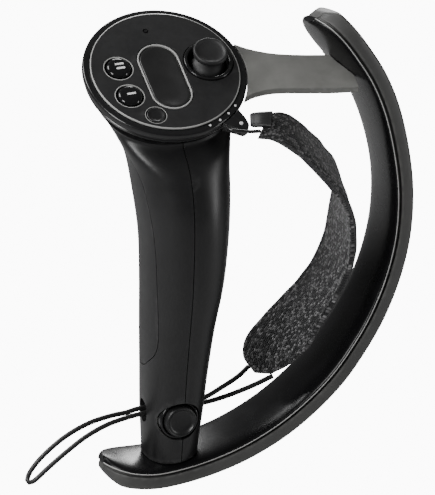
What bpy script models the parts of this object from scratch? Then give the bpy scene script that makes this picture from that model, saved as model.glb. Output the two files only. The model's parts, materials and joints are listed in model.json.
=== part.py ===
# VR motion controller for the right hand, in metres, +Z up along the handle.
# The thumb deck faces -Y and up, the trigger is on +Y, the tracking ring on +X.
import math

import bmesh
import bpy
from mathutils import Matrix, Vector

MM = 0.001
GAP = 0.0003

# Thumb deck: a flat round plate, tipped back about X.
FACE_CENTRE = Vector((0.0, 0.006, 0.082))
FACE_TILT = math.radians(25.0)
PLATE_RADIUS = 0.0264
PLATE_THICKNESS = 0.0022
RIM_RADIUS = 0.0292
CAVITY_RADIUS = 0.0254
PAD_CENTRE = (-0.00085, -0.0025)
PAD_WIDTH = 0.0150
PAD_LENGTH = 0.0300
BUTTON_B_PLACE = (-0.0160, 0.0042)
BUTTON_A_PLACE = (-0.0160, -0.0088)
BUTTON_RADIUS = 0.0044
BUTTON_HOLE = 0.0051
SYSTEM_PLACE = (-0.0096, -0.0190)
SYSTEM_RADIUS = 0.0034
STICK_PLACE = (0.0165, 0.0013)
STICK_PIVOT = -0.0062
SKIRT_RADIUS = 0.0074
WELL_RADIUS = 0.00875
LED_PLACE = (-0.0010, 0.0190)

# Handle: sections from the base up to the deck, each an oval in a plane tipped about X.
# centre x, centre y, centre z, tilt in degrees, half width, half depth (mm)
HANDLE_SECTIONS = (
    (-0.9, 0.4, -67.0, 0.0, 9.0, 10.4),
    (-0.5, 0.2, -56.0, 0.0, 9.7, 11.8),
    (0.0, 0.0, -45.0, 0.0, 10.5, 13.4),
    (0.5, -1.0, -30.0, 0.0, 11.3, 14.6),
    (1.1, -2.8, -12.0, 0.0, 12.5, 16.2),
    (2.2, -4.5, 6.0, 0.0, 14.0, 18.1),
    (2.7, -5.0, 24.0, 0.0, 15.1, 19.3),
    (2.3, -3.5, 40.0, 6.0, 16.5, 20.9),
    (1.7, -0.5, 53.0, 13.0, 17.9, 22.2),
    (0.8, 4.0, 63.0, 20.0, 20.8, 24.0),
    (0.3, 9.5, 70.2, 24.0, 23.7, 24.7),
    (0.0, 10.35, 72.67, 25.0, 25.1, 25.1),
)
HANDLE_WALL = 2.4
HANDLE_SQUARENESS = 2.25
SEAM_X = 0.0

# Tracking ring: the line that the front ridge follows (x, z), and its cross-section, in mm.
RING_LINE = (
    (-26.0, -60.4),
    (-16.0, -62.6),
    (-5.0, -63.2),
    (10.0, -61.0),
    (24.7, -56.4),
    (39.2, -48.7),
    (53.2, -37.2),
    (62.8, -25.1),
    (70.1, -12.6),
    (75.8, 2.4),
    (78.8, 18.0),
    (78.9, 36.0),
    (75.4, 57.2),
    (70.0, 73.0),
    (62.2, 86.8),
    (57.2, 95.0),
    (54.4, 98.8),
)
RING_END_LENGTH = 18.0
RING_LOWER_NOSE = 6.0
RING_UPPER_NOSE = 2.6
RING_WIDTH = 25.0
RING_LEAN = 7.6
RING_LEAN_LENGTH = 50.0
RING_TOP_SWELL = 45.0
RING_LOW_SWELL = 60.0
GROOVE_LEVEL = 2.3
HOLLOW_LEVEL = 4.6
HOLLOW_FLOOR = 1.65
HOLLOW_END = 3.0

# Cord lock, low on the front of the handle.
LOCK_X = -0.001
LOCK_Z = -0.045

# Trigger hinge (y, z).
TRIGGER_PIVOT = (0.0228, 0.0756)

CORD_RADIUS = 0.0009


def clear_scene():
    for item in list(bpy.data.objects):
        bpy.data.objects.remove(item, do_unlink=True)


def new_collection(name):
    collection = bpy.data.collections.new(name)
    bpy.context.scene.collection.children.link(collection)
    return collection


clear_scene()
PARTS = new_collection("vr_motion_controller")
CUTTERS = new_collection("cutters")
FACE = Matrix.Translation(FACE_CENTRE) @ Matrix.Rotation(FACE_TILT, 4, "X")


def on_face(place, height=0.0):
    return FACE @ Matrix.Translation((place[0], place[1], height))


def material(name, colour, roughness, metallic=0.0):
    if name in bpy.data.materials:
        return bpy.data.materials[name]
    made = bpy.data.materials.new(name)
    made.use_nodes = True
    shader = made.node_tree.nodes["Principled BSDF"]
    shader.inputs["Base Color"].default_value = (*colour, 1.0)
    shader.inputs["Roughness"].default_value = roughness
    shader.inputs["Metallic"].default_value = metallic
    return made


def finish(item, name, look):
    item.name = name
    item.data.name = name
    item.data.materials.clear()
    item.data.materials.append(material(name + "_finish", *look))
    return item


def make_cutter(item):
    for collection in list(item.users_collection):
        collection.objects.unlink(item)
    CUTTERS.objects.link(item)
    item.hide_render = True
    item.display_type = "WIRE"
    return item


def from_mesh(mesh, place=None):
    item = bpy.data.objects.new(mesh.name, mesh)
    PARTS.objects.link(item)
    if place is not None:
        item.matrix_world = place
    mesh.shade_smooth()
    mesh.set_sharp_from_angle(angle=math.radians(35))
    return item


def outward(mesh_data):
    bmesh.ops.recalc_face_normals(mesh_data, faces=mesh_data.faces)


def loft(rings, closed_ends=True):
    # Joins rings of equal point counts, in order, and caps both ends.
    shape = bmesh.new()
    rows = [[shape.verts.new(point) for point in ring] for ring in rings]
    count = len(rows[0])
    for low, high in zip(rows, rows[1:]):
        for i in range(count):
            j = (i + 1) % count
            shape.faces.new((low[i], low[j], high[j], high[i]))
    if closed_ends:
        shape.faces.new(rows[0])
        shape.faces.new(rows[-1])
    outward(shape)
    mesh = bpy.data.meshes.new("loft")
    shape.to_mesh(mesh)
    shape.free()
    return from_mesh(mesh)


def turned(profile, place=None, steps=32):
    # A profile (radius, height) that runs down its outer side, turned about Z.
    shape = bmesh.new()
    points = [shape.verts.new((radius, 0.0, height)) for radius, height in profile]
    for first, second in zip(points, points[1:]):
        shape.edges.new((first, second))
    if profile[0][0] > 0.0:
        shape.edges.new((points[-1], points[0]))
    mesh = bpy.data.meshes.new("turned")
    shape.to_mesh(mesh)
    shape.free()
    item = bpy.data.objects.new("turned", mesh)
    PARTS.objects.link(item)
    screw = item.modifiers.new("turn", "SCREW")
    screw.steps = steps
    screw.render_steps = steps
    screw.use_merge_vertices = True
    screw.merge_threshold = 0.00001
    screw.use_smooth_shade = True
    if place is not None:
        item.matrix_world = place
    return item


def circle(radius, centre=(0.0, 0.0), count=36):
    return [
        (
            centre[0] + radius * math.cos(2 * math.pi * i / count),
            centre[1] + radius * math.sin(2 * math.pi * i / count),
        )
        for i in range(count)
    ]


def stadium(width, length, centre=(0.0, 0.0), count=14):
    # A slot outline, long along Y.
    radius = width / 2
    straight = length / 2 - radius
    points = []
    for side, start in ((1, 0.0), (-1, math.pi)):
        for i in range(count + 1):
            angle = start + math.pi * i / count
            points.append(
                (
                    centre[0] + radius * math.cos(angle),
                    centre[1] + side * straight + radius * math.sin(angle),
                )
            )
    return points


def rectangle(width, height, centre=(0.0, 0.0)):
    return [
        (centre[0] + a * width / 2, centre[1] + b * height / 2)
        for a, b in ((-1, -1), (1, -1), (1, 1), (-1, 1))
    ]


def smooth_line(points, per_span=8, closed=False):
    # A Catmull-Rom curve through the points.
    points = [Vector(p) for p in points]
    count = len(points)
    spans = count if closed else count - 1
    line = []
    for k in range(spans):
        if closed:
            a, b, c, d = (points[(k + i) % count] for i in (-1, 0, 1, 2))
        else:
            b, c = points[k], points[k + 1]
            a = points[k - 1] if k else b * 2 - c
            d = points[k + 2] if k + 2 < count else c * 2 - b
        for i in range(per_span):
            t = i / per_span
            line.append(
                0.5
                * (
                    b * 2
                    + (c - a) * t
                    + (a * 2 - b * 5 + c * 4 - d) * t * t
                    + (b * 3 - a - c * 3 + d) * t * t * t
                )
            )
    if not closed:
        line.append(points[-1])
    return line


def evenly(line, step):
    # The same line with points about step apart.
    lengths = [0.0]
    for a, b in zip(line, line[1:]):
        lengths.append(lengths[-1] + (b - a).length)
    count = max(2, round(lengths[-1] / step))
    even = []
    k = 0
    for i in range(count + 1):
        along = lengths[-1] * i / count
        while k < len(line) - 2 and lengths[k + 1] < along:
            k += 1
        share = (along - lengths[k]) / (lengths[k + 1] - lengths[k])
        even.append(line[k].lerp(line[k + 1], share))
    return even


def flat(outlines, low, high, place=None):
    # A flat outline, with any holes, extruded along Z from low to high.
    data = bpy.data.curves.new("flat", "CURVE")
    data.dimensions = "2D"
    data.fill_mode = "BOTH"
    data.extrude = (high - low) / 2
    for outline in outlines:
        spline = data.splines.new("POLY")
        spline.points.add(len(outline) - 1)
        for point, (x, y) in zip(spline.points, outline):
            point.co = (x, y, 0.0, 1.0)
        spline.use_cyclic_u = True
    curve = bpy.data.objects.new("flat", data)
    PARTS.objects.link(curve)
    mesh = meshed(curve)
    mesh.transform(Matrix.Translation((0.0, 0.0, (low + high) / 2)))
    return from_mesh(mesh, place)


def meshed(curve):
    # A curve object as a welded mesh; the curve is removed.
    bpy.context.view_layer.update()
    evaluated = curve.evaluated_get(bpy.context.evaluated_depsgraph_get())
    mesh = bpy.data.meshes.new_from_object(evaluated)
    bpy.data.objects.remove(curve, do_unlink=True)
    shape = bmesh.new()
    shape.from_mesh(mesh)
    bmesh.ops.remove_doubles(shape, verts=shape.verts, dist=0.000001)
    outward(shape)
    shape.to_mesh(mesh)
    shape.free()
    return mesh


def tube(points, radius, resolution=2, closed=False):
    data = bpy.data.curves.new("tube", "CURVE")
    data.dimensions = "3D"
    data.bevel_depth = radius
    data.bevel_resolution = resolution
    data.use_fill_caps = not closed
    spline = data.splines.new("POLY")
    spline.points.add(len(points) - 1)
    for point, place in zip(spline.points, points):
        point.co = (*place, 1.0)
    spline.use_cyclic_u = closed
    item = bpy.data.objects.new("tube", data)
    PARTS.objects.link(item)
    return item


def coil(radius, length, turns, wire, place, per_turn=10):
    # A coil spring along +Z from its place.
    count = turns * per_turn
    points = [
        place
        @ Vector(
            (
                radius * math.cos(2 * math.pi * i / per_turn),
                radius * math.sin(2 * math.pi * i / per_turn),
                wire + (length - 2 * wire) * i / count,
            )
        )
        for i in range(count + 1)
    ]
    return tube(points, wire, resolution=1)


def cut(item, cutter, operation="DIFFERENCE", solver="EXACT"):
    boolean = item.modifiers.new(operation.lower(), "BOOLEAN")
    boolean.operation = operation
    boolean.solver = solver
    boolean.object = cutter
    return item


def bevel(item, width, segments=2, angle=30.0):
    rounding = item.modifiers.new("bevel", "BEVEL")
    rounding.width = width
    rounding.segments = segments
    rounding.limit_method = "ANGLE"
    rounding.angle_limit = math.radians(angle)
    return item


def block(low, high, place=None):
    centre = ((low[0] + high[0]) / 2, (low[1] + high[1]) / 2)
    return flat([rectangle(high[0] - low[0], high[1] - low[1], centre)], low[2], high[2], place)


BLACK = ((0.012, 0.012, 0.013), 0.42)
BLACK_SATIN = ((0.016, 0.016, 0.017), 0.38)
BLACK_GLOSS = ((0.008, 0.008, 0.009), 0.15)
GREY = ((0.13, 0.13, 0.125), 0.45)
RING_GREY = ((0.09, 0.09, 0.088), 0.5)
RUBBER = ((0.02, 0.02, 0.021), 0.75)
STEEL = ((0.55, 0.55, 0.56), 0.3, 1.0)
COPPER = ((0.6, 0.35, 0.15), 0.35, 1.0)
BOARD = ((0.01, 0.09, 0.04), 0.5)
KNIT = ((0.05, 0.05, 0.055), 0.9)
CORD = ((0.012, 0.012, 0.012), 0.8)
WHITE = ((0.8, 0.8, 0.78), 0.4)
CELL_BLUE = ((0.05, 0.12, 0.35), 0.4)


# --- Thumb deck ---


def make_head():
    plate = flat(
        [
            circle(PLATE_RADIUS, count=52),
            stadium(PAD_WIDTH + 2 * GAP, PAD_LENGTH + 2 * GAP, PAD_CENTRE),
            circle(BUTTON_HOLE, BUTTON_A_PLACE, 24),
            circle(BUTTON_HOLE, BUTTON_B_PLACE, 24),
            circle(SYSTEM_RADIUS + GAP, SYSTEM_PLACE, 20),
            circle(WELL_RADIUS + GAP, STICK_PLACE, 32),
            circle(0.0010, LED_PLACE, 12),
        ],
        -PLATE_THICKNESS,
        0.0,
        FACE,
    )
    finish(plate, "face_plate", BLACK)

    seat = -PLATE_THICKNESS - GAP
    housing = turned(
        [
            (PLATE_RADIUS + GAP, -0.0008),
            (RIM_RADIUS - 0.0005, -0.0008),
            (RIM_RADIUS, -0.0013),
            (RIM_RADIUS, -0.0032),
            (RIM_RADIUS - 0.0013, -0.0035),
            (RIM_RADIUS - 0.0013, -0.0049),
            (RIM_RADIUS - 0.0009, -0.0051),
            (RIM_RADIUS - 0.0016, -0.0066),
            (RIM_RADIUS - 0.0026, -0.0069),
            (RIM_RADIUS - 0.0034, -0.0086),
            (RIM_RADIUS - 0.0042, -0.0100),
            (0.0232, -0.0100),
            (0.0246, -0.0085),
            (CAVITY_RADIUS, -0.0065),
            (CAVITY_RADIUS, seat),
            (PLATE_RADIUS + GAP, seat),
        ],
        FACE,
        steps=52,
    )
    finish(housing, "head_housing", BLACK)

    trim = flat(
        [
            stadium(PAD_WIDTH, PAD_LENGTH, PAD_CENTRE),
            stadium(PAD_WIDTH - 0.0011, PAD_LENGTH - 0.0011, PAD_CENTRE),
        ],
        -0.0022,
        0.00015,
        FACE,
    )
    finish(trim, "trackpad_trim", GREY)

    pad = flat(
        [stadium(PAD_WIDTH - 0.0016, PAD_LENGTH - 0.0016, PAD_CENTRE)], -0.0019, -0.0001, FACE
    )
    finish(bevel(pad, 0.0004), "trackpad", BLACK_SATIN)
    sensor = flat(
        [stadium(PAD_WIDTH - 0.0030, PAD_LENGTH - 0.0040, PAD_CENTRE)], -0.0037, -0.0025, FACE
    )
    finish(sensor, "trackpad_sensor", BOARD)

    led = turned(
        [(0.0, 0.0001), (0.0006, 0.0001), (0.0007, -0.0019), (0.0, -0.0019)],
        on_face(LED_PLACE),
        steps=10,
    )
    finish(led, "status_led", WHITE)

    board = flat(
        [circle(0.0238, count=48), circle(0.0061, STICK_PLACE, 28)], -0.0080, -0.0070, FACE
    )
    finish(board, "main_board", BOARD)


def make_round_button(name, place, radius, proud, flange):
    top = proud
    profile = [
        (0.0, top - 0.00015),
        (radius - 0.0010, top - 0.0001),
        (radius - 0.0004, top - 0.0003),
        (radius, top - 0.0008),
        (radius, -0.0025),
        (flange, -0.0026),
        (flange, -0.0034),
        (0.0, -0.0034),
    ]
    finish(turned(profile, on_face(place), steps=24), name, BLACK_GLOSS)
    switch = block((-0.0020, -0.0020, -0.0067), (0.0020, 0.0020, -0.0047), on_face(place))
    finish(switch, name + "_switch", STEEL)


def make_buttons():
    make_round_button("button_a", BUTTON_A_PLACE, BUTTON_RADIUS, 0.0014, 0.0056)
    make_round_button("button_b", BUTTON_B_PLACE, BUTTON_RADIUS, 0.0014, 0.0056)
    make_round_button("system_button", SYSTEM_PLACE, SYSTEM_RADIUS, 0.0003, SYSTEM_RADIUS - 0.0006)


def on_sphere(radius, degrees):
    angle = math.radians(degrees)
    return radius * math.sin(angle), STICK_PIVOT + radius * math.cos(angle)


def make_thumbstick():
    place = on_face(STICK_PLACE)
    ring = turned(
        [
            (WELL_RADIUS - 0.0013, 0.0006),
            (WELL_RADIUS - 0.0003, 0.0006),
            (WELL_RADIUS, 0.0003),
            (WELL_RADIUS, -0.0022),
            (0.0069, -0.0022),
            (0.0067, -0.0014),
            (0.0072, -0.0004),
        ],
        place,
        steps=36,
    )
    finish(ring, "stick_well_ring", BLACK_SATIN)

    inner = SKIRT_RADIUS - 0.0008
    stem = turned(
        [(0.0, 0.0034), (0.0023, 0.0034), (0.0023, 0.0011)]
        + [on_sphere(SKIRT_RADIUS, angle) for angle in (19, 30, 41, 52, 62, 68)]
        + [on_sphere(inner, angle) for angle in (68, 58, 44, 30, 18)]
        + [(0.0012, -0.0002), (0.0012, -0.0090), (0.0, -0.0090)],
        place,
        steps=26,
    )
    finish(stem, "thumbstick_stem", RUBBER)

    cap = turned(
        [
            (0.0, 0.0049),
            (0.0025, 0.00495),
            (0.0044, 0.0053),
            (0.0053, 0.0059),
            (0.0059, 0.0057),
            (0.00615, 0.0051),
            (0.0060, 0.0041),
            (0.0052, 0.0037),
            (0.0, 0.0037),
        ],
        place,
        steps=28,
    )
    finish(cap, "thumbstick_cap", RUBBER)

    rocker = turned(
        [(0.0016, -0.0053), (0.0029, -0.0053), (0.0029, -0.0071), (0.0016, -0.0071)], place, 20
    )
    finish(rocker, "stick_rocker", STEEL)
    gimbal = turned(
        [(0.0033, -0.0055), (0.0043, -0.0055), (0.0043, -0.0069), (0.0033, -0.0069)], place, 24
    )
    finish(gimbal, "stick_gimbal", STEEL)
    base = turned(
        [
            (0.0049, -0.0051),
            (0.0056, -0.0051),
            (0.0056, -0.0107),
            (0.0, -0.0107),
            (0.0, -0.0099),
            (0.0049, -0.0099),
        ],
        place,
        28,
    )
    finish(base, "stick_base", STEEL)


# --- Handle ---


def oval_angle(share):
    # The angle at which an oval of this squareness reaches a share of its half width.
    return math.acos(math.copysign(abs(share) ** (HANDLE_SQUARENESS / 2), share))


def oval_point(section, angle, inset):
    x, y, z, tilt, half_width, half_depth = section
    power = 2 / HANDLE_SQUARENESS
    cosine = math.cos(angle)
    sine = math.sin(angle)
    across = (half_width - inset) * math.copysign(abs(cosine) ** power, cosine)
    deep = (half_depth - inset) * math.copysign(abs(sine) ** power, sine)
    tip = math.radians(tilt)
    return Vector(
        (
            (x + across) * MM,
            (y + deep * math.cos(tip)) * MM,
            (z + deep * math.sin(tip)) * MM,
        )
    )


def handle_sections():
    # The sections with even ones between them, so that the sides curve smoothly.
    fine = []
    vectors = [Vector(section) for section in HANDLE_SECTIONS]
    for section in smooth_line(vectors, per_span=2):
        fine.append(tuple(section))
    return fine


def half_handle(side, count=12):
    # One half of the hollow handle: side is +1 for right and -1 for left.
    rings = []
    for section in handle_sections():
        ring = []
        for inset, order in ((0.0, 1), (HANDLE_WALL, -1)):
            reach = (SEAM_X + side * 0.15 - section[0]) / (section[4] - inset)
            edge = oval_angle(reach)
            if side < 0:
                start, stop = edge, 2 * math.pi - edge
            else:
                start, stop = -edge, edge
            angles = [start + (stop - start) * i / count for i in range(count + 1)]
            ring += [oval_point(section, angle, inset) for angle in angles[::order]]
        rings.append(ring)
    return loft(rings)


def side_prism(outline, low_x, high_x):
    # An outline in the YZ plane, extruded along X.
    turn = Matrix(((0, 0, 1, 0), (1, 0, 0, 0), (0, 1, 0, 0), (0, 0, 0, 1)))
    return flat([outline], low_x, high_x, turn)


def front_cylinder(radius, low_y, high_y, count=40):
    turn = Matrix.Translation((LOCK_X, 0.0, LOCK_Z)) @ Matrix.Rotation(math.radians(90), 4, "X")
    return flat([circle(radius, count=count)], -high_y, -low_y, turn)


def panel_outline(grow):
    front = [
        (30.0, -27.5),
        (3.0, -27.0),
        (-6.0, -23.0),
        (-12.2, -14.0),
        (-14.0, 10.0),
        (-13.2, 36.0),
        (-7.5, 52.0),
        (6.0, 59.5),
        (30.0, 61.0),
    ]
    line = smooth_line([(y, z) for y, z in front], per_span=5)
    shifted = []
    for k, point in enumerate(line):
        along = line[min(k + 1, len(line) - 1)] - line[max(k - 1, 0)]
        across = Vector((-along.y, along.x)).normalized()
        moved = point + across * grow
        shifted.append((moved.x * MM, moved.y * MM))
    return shifted


def make_handle():
    left = half_handle(-1)
    right = half_handle(1)
    panel = half_handle(-1)

    opening = make_cutter(side_prism(panel_outline(0.3), -0.05, 0.0))
    inside = make_cutter(side_prism(panel_outline(0.0), -0.05, -0.0006))
    cut(left, opening)
    cut(panel, inside, "INTERSECT")

    foot = make_cutter(ring_clearance())
    bore = make_cutter(front_cylinder(0.0075, -0.030, -0.0050))
    slot = make_cutter(
        flat(
            [stadium(0.0062, 0.0086)],
            -0.030,
            0.030,
            Matrix.Translation((0.0, 0.0, LOCK_Z + 0.0004))
            @ Matrix(((0, 0, 1, 0), (1, 0, 0, 0), (0, 1, 0, 0), (0, 0, 0, 1))),
        )
    )
    mouth = make_cutter(
        side_prism([(0.016, 0.0650), (0.050, 0.0650), (0.050, 0.0806), (0.016, 0.0806)], -0.0076, 0.0076)
    )
    for shell in (left, right):
        for cutter in (foot, bore, slot, mouth):
            cut(shell, cutter)
    finish(left, "handle_shell_left", BLACK_SATIN)
    finish(right, "handle_shell_right", BLACK_SATIN)
    finish(panel, "squeeze_panel", BLACK)

    battery = turned(
        [
            (0.0, 0.024),
            (0.0062, 0.024),
            (0.0070, 0.0232),
            (0.0070, -0.0232),
            (0.0062, -0.024),
            (0.0, -0.024),
        ],
        Matrix.Translation((0.0016, -0.0028, -0.0055)),
        28,
    )
    finish(battery, "battery", CELL_BLUE)
    motor = turned(
        [(0.0, 0.0045), (0.0078, 0.0045), (0.0080, 0.0043), (0.0080, -0.0045), (0.0, -0.0045)],
        Matrix.Translation((0.0028, -0.0045, 0.0300)),
        28,
    )
    finish(motor, "haptic_motor", STEEL)


# --- Trigger ---


def make_trigger():
    pivot_y, pivot_z = TRIGGER_PIVOT
    shape = [
        (20.3, 77.6),
        (25.8, 79.0),
        (33.0, 78.6),
        (38.6, 74.6),
        (40.6, 68.0),
        (39.6, 61.0),
        (38.8, 56.4),
        (40.4, 52.4),
        (39.0, 51.0),
        (36.2, 52.6),
        (34.2, 58.0),
        (32.0, 64.6),
        (27.8, 69.8),
        (21.0, 72.4),
    ]
    outline = [tuple(p * MM) for p in smooth_line(shape, per_span=3, closed=True)]
    lever = bevel(side_prism(outline, -0.0070, 0.0070), 0.0012)
    hole = make_cutter(side_prism(circle(0.00125, TRIGGER_PIVOT, 20), -0.02, 0.02))
    finish(cut(lever, hole), "trigger", BLACK_SATIN)

    pin = side_prism(circle(0.0010, TRIGGER_PIVOT, 20), -0.0088, 0.0088)
    finish(pin, "trigger_pin", STEEL)

    # A U-shaped bracket: a back wall behind the lever and an ear on each side.
    back = pivot_y - 0.0055
    front = pivot_y + 0.0018
    ears = [
        (-0.0088, front),
        (-0.0088, back - 0.0012),
        (0.0088, back - 0.0012),
        (0.0088, front),
        (0.0077, front),
        (0.0077, back),
        (-0.0077, back),
        (-0.0077, front),
    ]
    bracket = flat([ears], pivot_z - 0.0018, pivot_z + 0.0018)
    ear_hole = make_cutter(side_prism(circle(0.00125, TRIGGER_PIVOT, 20), -0.02, 0.02))
    finish(cut(bracket, ear_hole), "trigger_bracket", STEEL)

    spring_place = Matrix.Translation((0.0, 0.0176, 0.0672)) @ Matrix.Rotation(
        math.radians(-72), 4, "X"
    )
    finish(coil(0.0019, 0.0062, 5, 0.0003, spring_place), "trigger_spring", STEEL)


# --- Cord lock ---


def make_cord_lock():
    forward = Matrix.Translation((LOCK_X, 0.0, LOCK_Z)) @ Matrix.Rotation(math.radians(90), 4, "X")
    ring = turned(
        [
            (0.0061, 0.0116),
            (0.0072, 0.0112),
            (0.0072, 0.0084),
            (0.0061, 0.0084),
        ],
        forward,
        28,
    )
    finish(ring, "lock_ring", BLACK_SATIN)

    button = turned(
        [
            (0.0, 0.0129),
            (0.0040, 0.0131),
            (0.0045, 0.0134),
            (0.0050, 0.0139),
            (0.0055, 0.0138),
            (0.0058, 0.0132),
            (0.0058, 0.0083),
            (0.0, 0.0083),
        ],
        forward,
        28,
    )
    finish(button, "cord_lock_button", BLACK_SATIN)

    low = LOCK_Z - 0.0055
    high = LOCK_Z + 0.0055
    plunger = block((LOCK_X - 0.0030, -0.0080, low), (LOCK_X + 0.0030, 0.0039, high))
    window = make_cutter(
        block((-0.02, -0.0043, LOCK_Z - 0.0032), (0.02, 0.0026, LOCK_Z + 0.0038))
    )
    finish(cut(plunger, window), "lock_plunger", GREY)

    body = block((LOCK_X - 0.0042, -0.0062, LOCK_Z - 0.0068), (LOCK_X + 0.0042, 0.0080, LOCK_Z + 0.0068))
    channel = make_cutter(
        block((LOCK_X - 0.0033, -0.02, low - GAP), (LOCK_X + 0.0033, 0.0070, high + GAP))
    )
    passage = make_cutter(
        block((-0.03, -0.0029, LOCK_Z - 0.0032), (0.03, 0.0029, LOCK_Z + 0.0038))
    )
    cut(body, channel)
    cut(body, passage)
    finish(body, "lock_body", GREY)

    behind = Matrix.Translation((LOCK_X, 0.0042, LOCK_Z)) @ Matrix.Rotation(
        math.radians(-90), 4, "X"
    )
    finish(coil(0.0020, 0.0025, 3, 0.0002, behind), "lock_spring", STEEL)


# --- Tracking ring ---


def ring_line():
    return evenly(smooth_line([(x, z) for x, z in RING_LINE], per_span=8), 1.0)


def ring_frames(start, stop, step, end_steps=(0.0, 0.4, 1.4, 3.0, 5.5, 9.0, 13.0)):
    # Points along the ring line from start to stop (mm from each end), with their outward
    # directions, how wide the ring is there, as both ends are rounded tongues, how thick, how far
    # its rear edge leans in, and how deep its hollow is, as that closes at both ends.
    line = ring_line()
    length = sum((b - a).length for a, b in zip(line, line[1:]))
    spacing = length / (len(line) - 1)
    first, last = start, length - stop
    count = max(2, round((last - first - 2 * RING_END_LENGTH) / step))
    middle = [
        first + RING_END_LENGTH + (last - first - 2 * RING_END_LENGTH) * i / count
        for i in range(count + 1)
    ]
    places = [first + d for d in end_steps] + middle + [last - d for d in end_steps[::-1]]
    frames = []
    for place in places:
        k = min(len(line) - 2, int(place / spacing))
        share = place / spacing - k
        point = line[k].lerp(line[k + 1], share)
        before = line[max(k - 2, 0)]
        after = line[min(k + 3, len(line) - 1)]
        along = (after - before).normalized()
        out = Vector((along.y, -along.x))
        end = min(place - first, last - place)
        near = min(end / RING_END_LENGTH, 1.0)
        wide = max(0.20, math.sqrt(1.0 - (1.0 - near) ** 2.4))
        top = length - place
        above = math.exp(-((top / RING_TOP_SWELL) ** 2))
        below = math.exp(-(((place - RING_LOW_SWELL) / RING_TOP_SWELL) ** 2))
        full = 1.06 + 0.10 * above + 0.10 * below
        nose = RING_LOWER_NOSE if place - first < last - place else RING_UPPER_NOSE
        thick = full * (0.25 + 0.75 * min(end / nose, 1.0) ** 0.6)
        lean = RING_LEAN * math.exp(-((top / RING_LEAN_LENGTH) ** 2)) / RING_WIDTH
        deep = min(end / HOLLOW_END, 1.0)
        frames.append((point, out, wide, thick, lean, deep))
    return frames


def ring_band(section, start=0.0, stop=0.0, step=7.0, rounded=True):
    # Sweeps a section (y, outward) along the ring line. What lies beyond the groove thins
    # towards the ends.
    rings = []
    for point, out, wide, thick, lean, deep in ring_frames(start, stop, step):
        ring = []
        for y, level in section:
            if level == HOLLOW_LEVEL:
                level = HOLLOW_FLOOR + (level - HOLLOW_FLOOR) * deep
            if rounded:
                y *= wide
            if rounded and level > GROOVE_LEVEL:
                level = GROOVE_LEVEL + (level - GROOVE_LEVEL) * thick
            place = point + out * (level - lean * (y + RING_WIDTH / 2))
            ring.append((place.x * MM, y * MM, place.y * MM))
        rings.append(ring)
    return loft(rings)


def mirrored(half):
    # A closed section from its -Y half, which starts and ends near the middle.
    return half + [(-y, t) for y, t in half[::-1] if y != 0.0]


INNER_SECTION = mirrored(
    [(0.0, -1.2), (-4.5, -1.1), (-8.5, -0.75), (-11.4, -0.1), (-12.5, 0.7), (-12.5, 1.2), (-11.2, 1.3)]
)
OUTER_SECTION = mirrored(
    [
        (-9.6, HOLLOW_LEVEL),
        (-9.6, 1.6),
        (-11.1, 1.6),
        (-11.1, GROOVE_LEVEL),
        (-12.4, GROOVE_LEVEL),
        (-12.6, 3.0),
        (-12.0, 6.2),
        (-10.8, 7.0),
        (-6.0, 7.4),
        (0.0, 7.5),
    ][::-1]
)
FLEX_SECTION = mirrored([(0.0, 1.9), (-8.6, 1.9), (-8.6, 2.3), (0.0, 2.3)])
CLEAR_SECTION = mirrored([(0.0, -1.5), (-8.5, -1.1), (-14.0, -0.6), (-14.0, 7.0), (0.0, 7.0)])


def ring_clearance():
    return ring_band(CLEAR_SECTION, rounded=False)


def make_ring():
    inner = ring_band(INNER_SECTION)
    outer = ring_band(OUTER_SECTION, start=0.6, stop=0.6)
    flex = ring_band(FLEX_SECTION, start=14.0, stop=14.0, step=9.0)

    port_x = -0.0035
    through = make_cutter(
        flat([stadium(0.0042, 0.0100, (port_x, 0.0))], -0.075, -0.050)
    )
    seat = make_cutter(flat([stadium(0.0086, 0.0156, (port_x, 0.0))], -0.080, -0.0682))
    cut(inner, through)
    cut(flex, through)
    cut(outer, through)
    cut(outer, seat)
    finish(inner, "ring_inner_shell", BLACK_SATIN)
    finish(outer, "ring_outer_shell", RING_GREY)
    finish(flex, "ring_flex", COPPER)

    bezel = flat(
        [stadium(0.0080, 0.0150, (port_x, 0.0)), stadium(0.0042, 0.0100, (port_x, 0.0))],
        -0.0713,
        -0.0686,
    )
    finish(bezel, "port_bezel", BLACK)
    port = flat(
        [stadium(0.0034, 0.0090, (port_x, 0.0)), stadium(0.0026, 0.0082, (port_x, 0.0))],
        -0.0709,
        -0.0590,
    )
    finish(port, "charge_port", STEEL)

    frames = ring_frames(24.0, 20.0, 6.5)
    picks = [round(len(frames) * share) for share in (0.24, 0.37, 0.50, 0.63, 0.76, 0.89)]
    for number, pick in enumerate(picks, 1):
        point, out = frames[pick][:2]
        lean = frames[pick][4]
        place = point + out * (2.6 - lean * RING_WIDTH / 2)
        turn = Vector((out.x, lean, out.y)).to_track_quat("Z", "Y").to_matrix().to_4x4()
        sensor = turned(
            [(0.0, 0.0016), (0.0012, 0.0014), (0.0019, 0.0007), (0.0019, 0.0), (0.0, 0.0)],
            Matrix.Translation((place.x * MM, 0.0, place.y * MM)) @ turn,
            16,
        )
        finish(sensor, "ring_sensor_%d" % number, BLACK_GLOSS)


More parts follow.
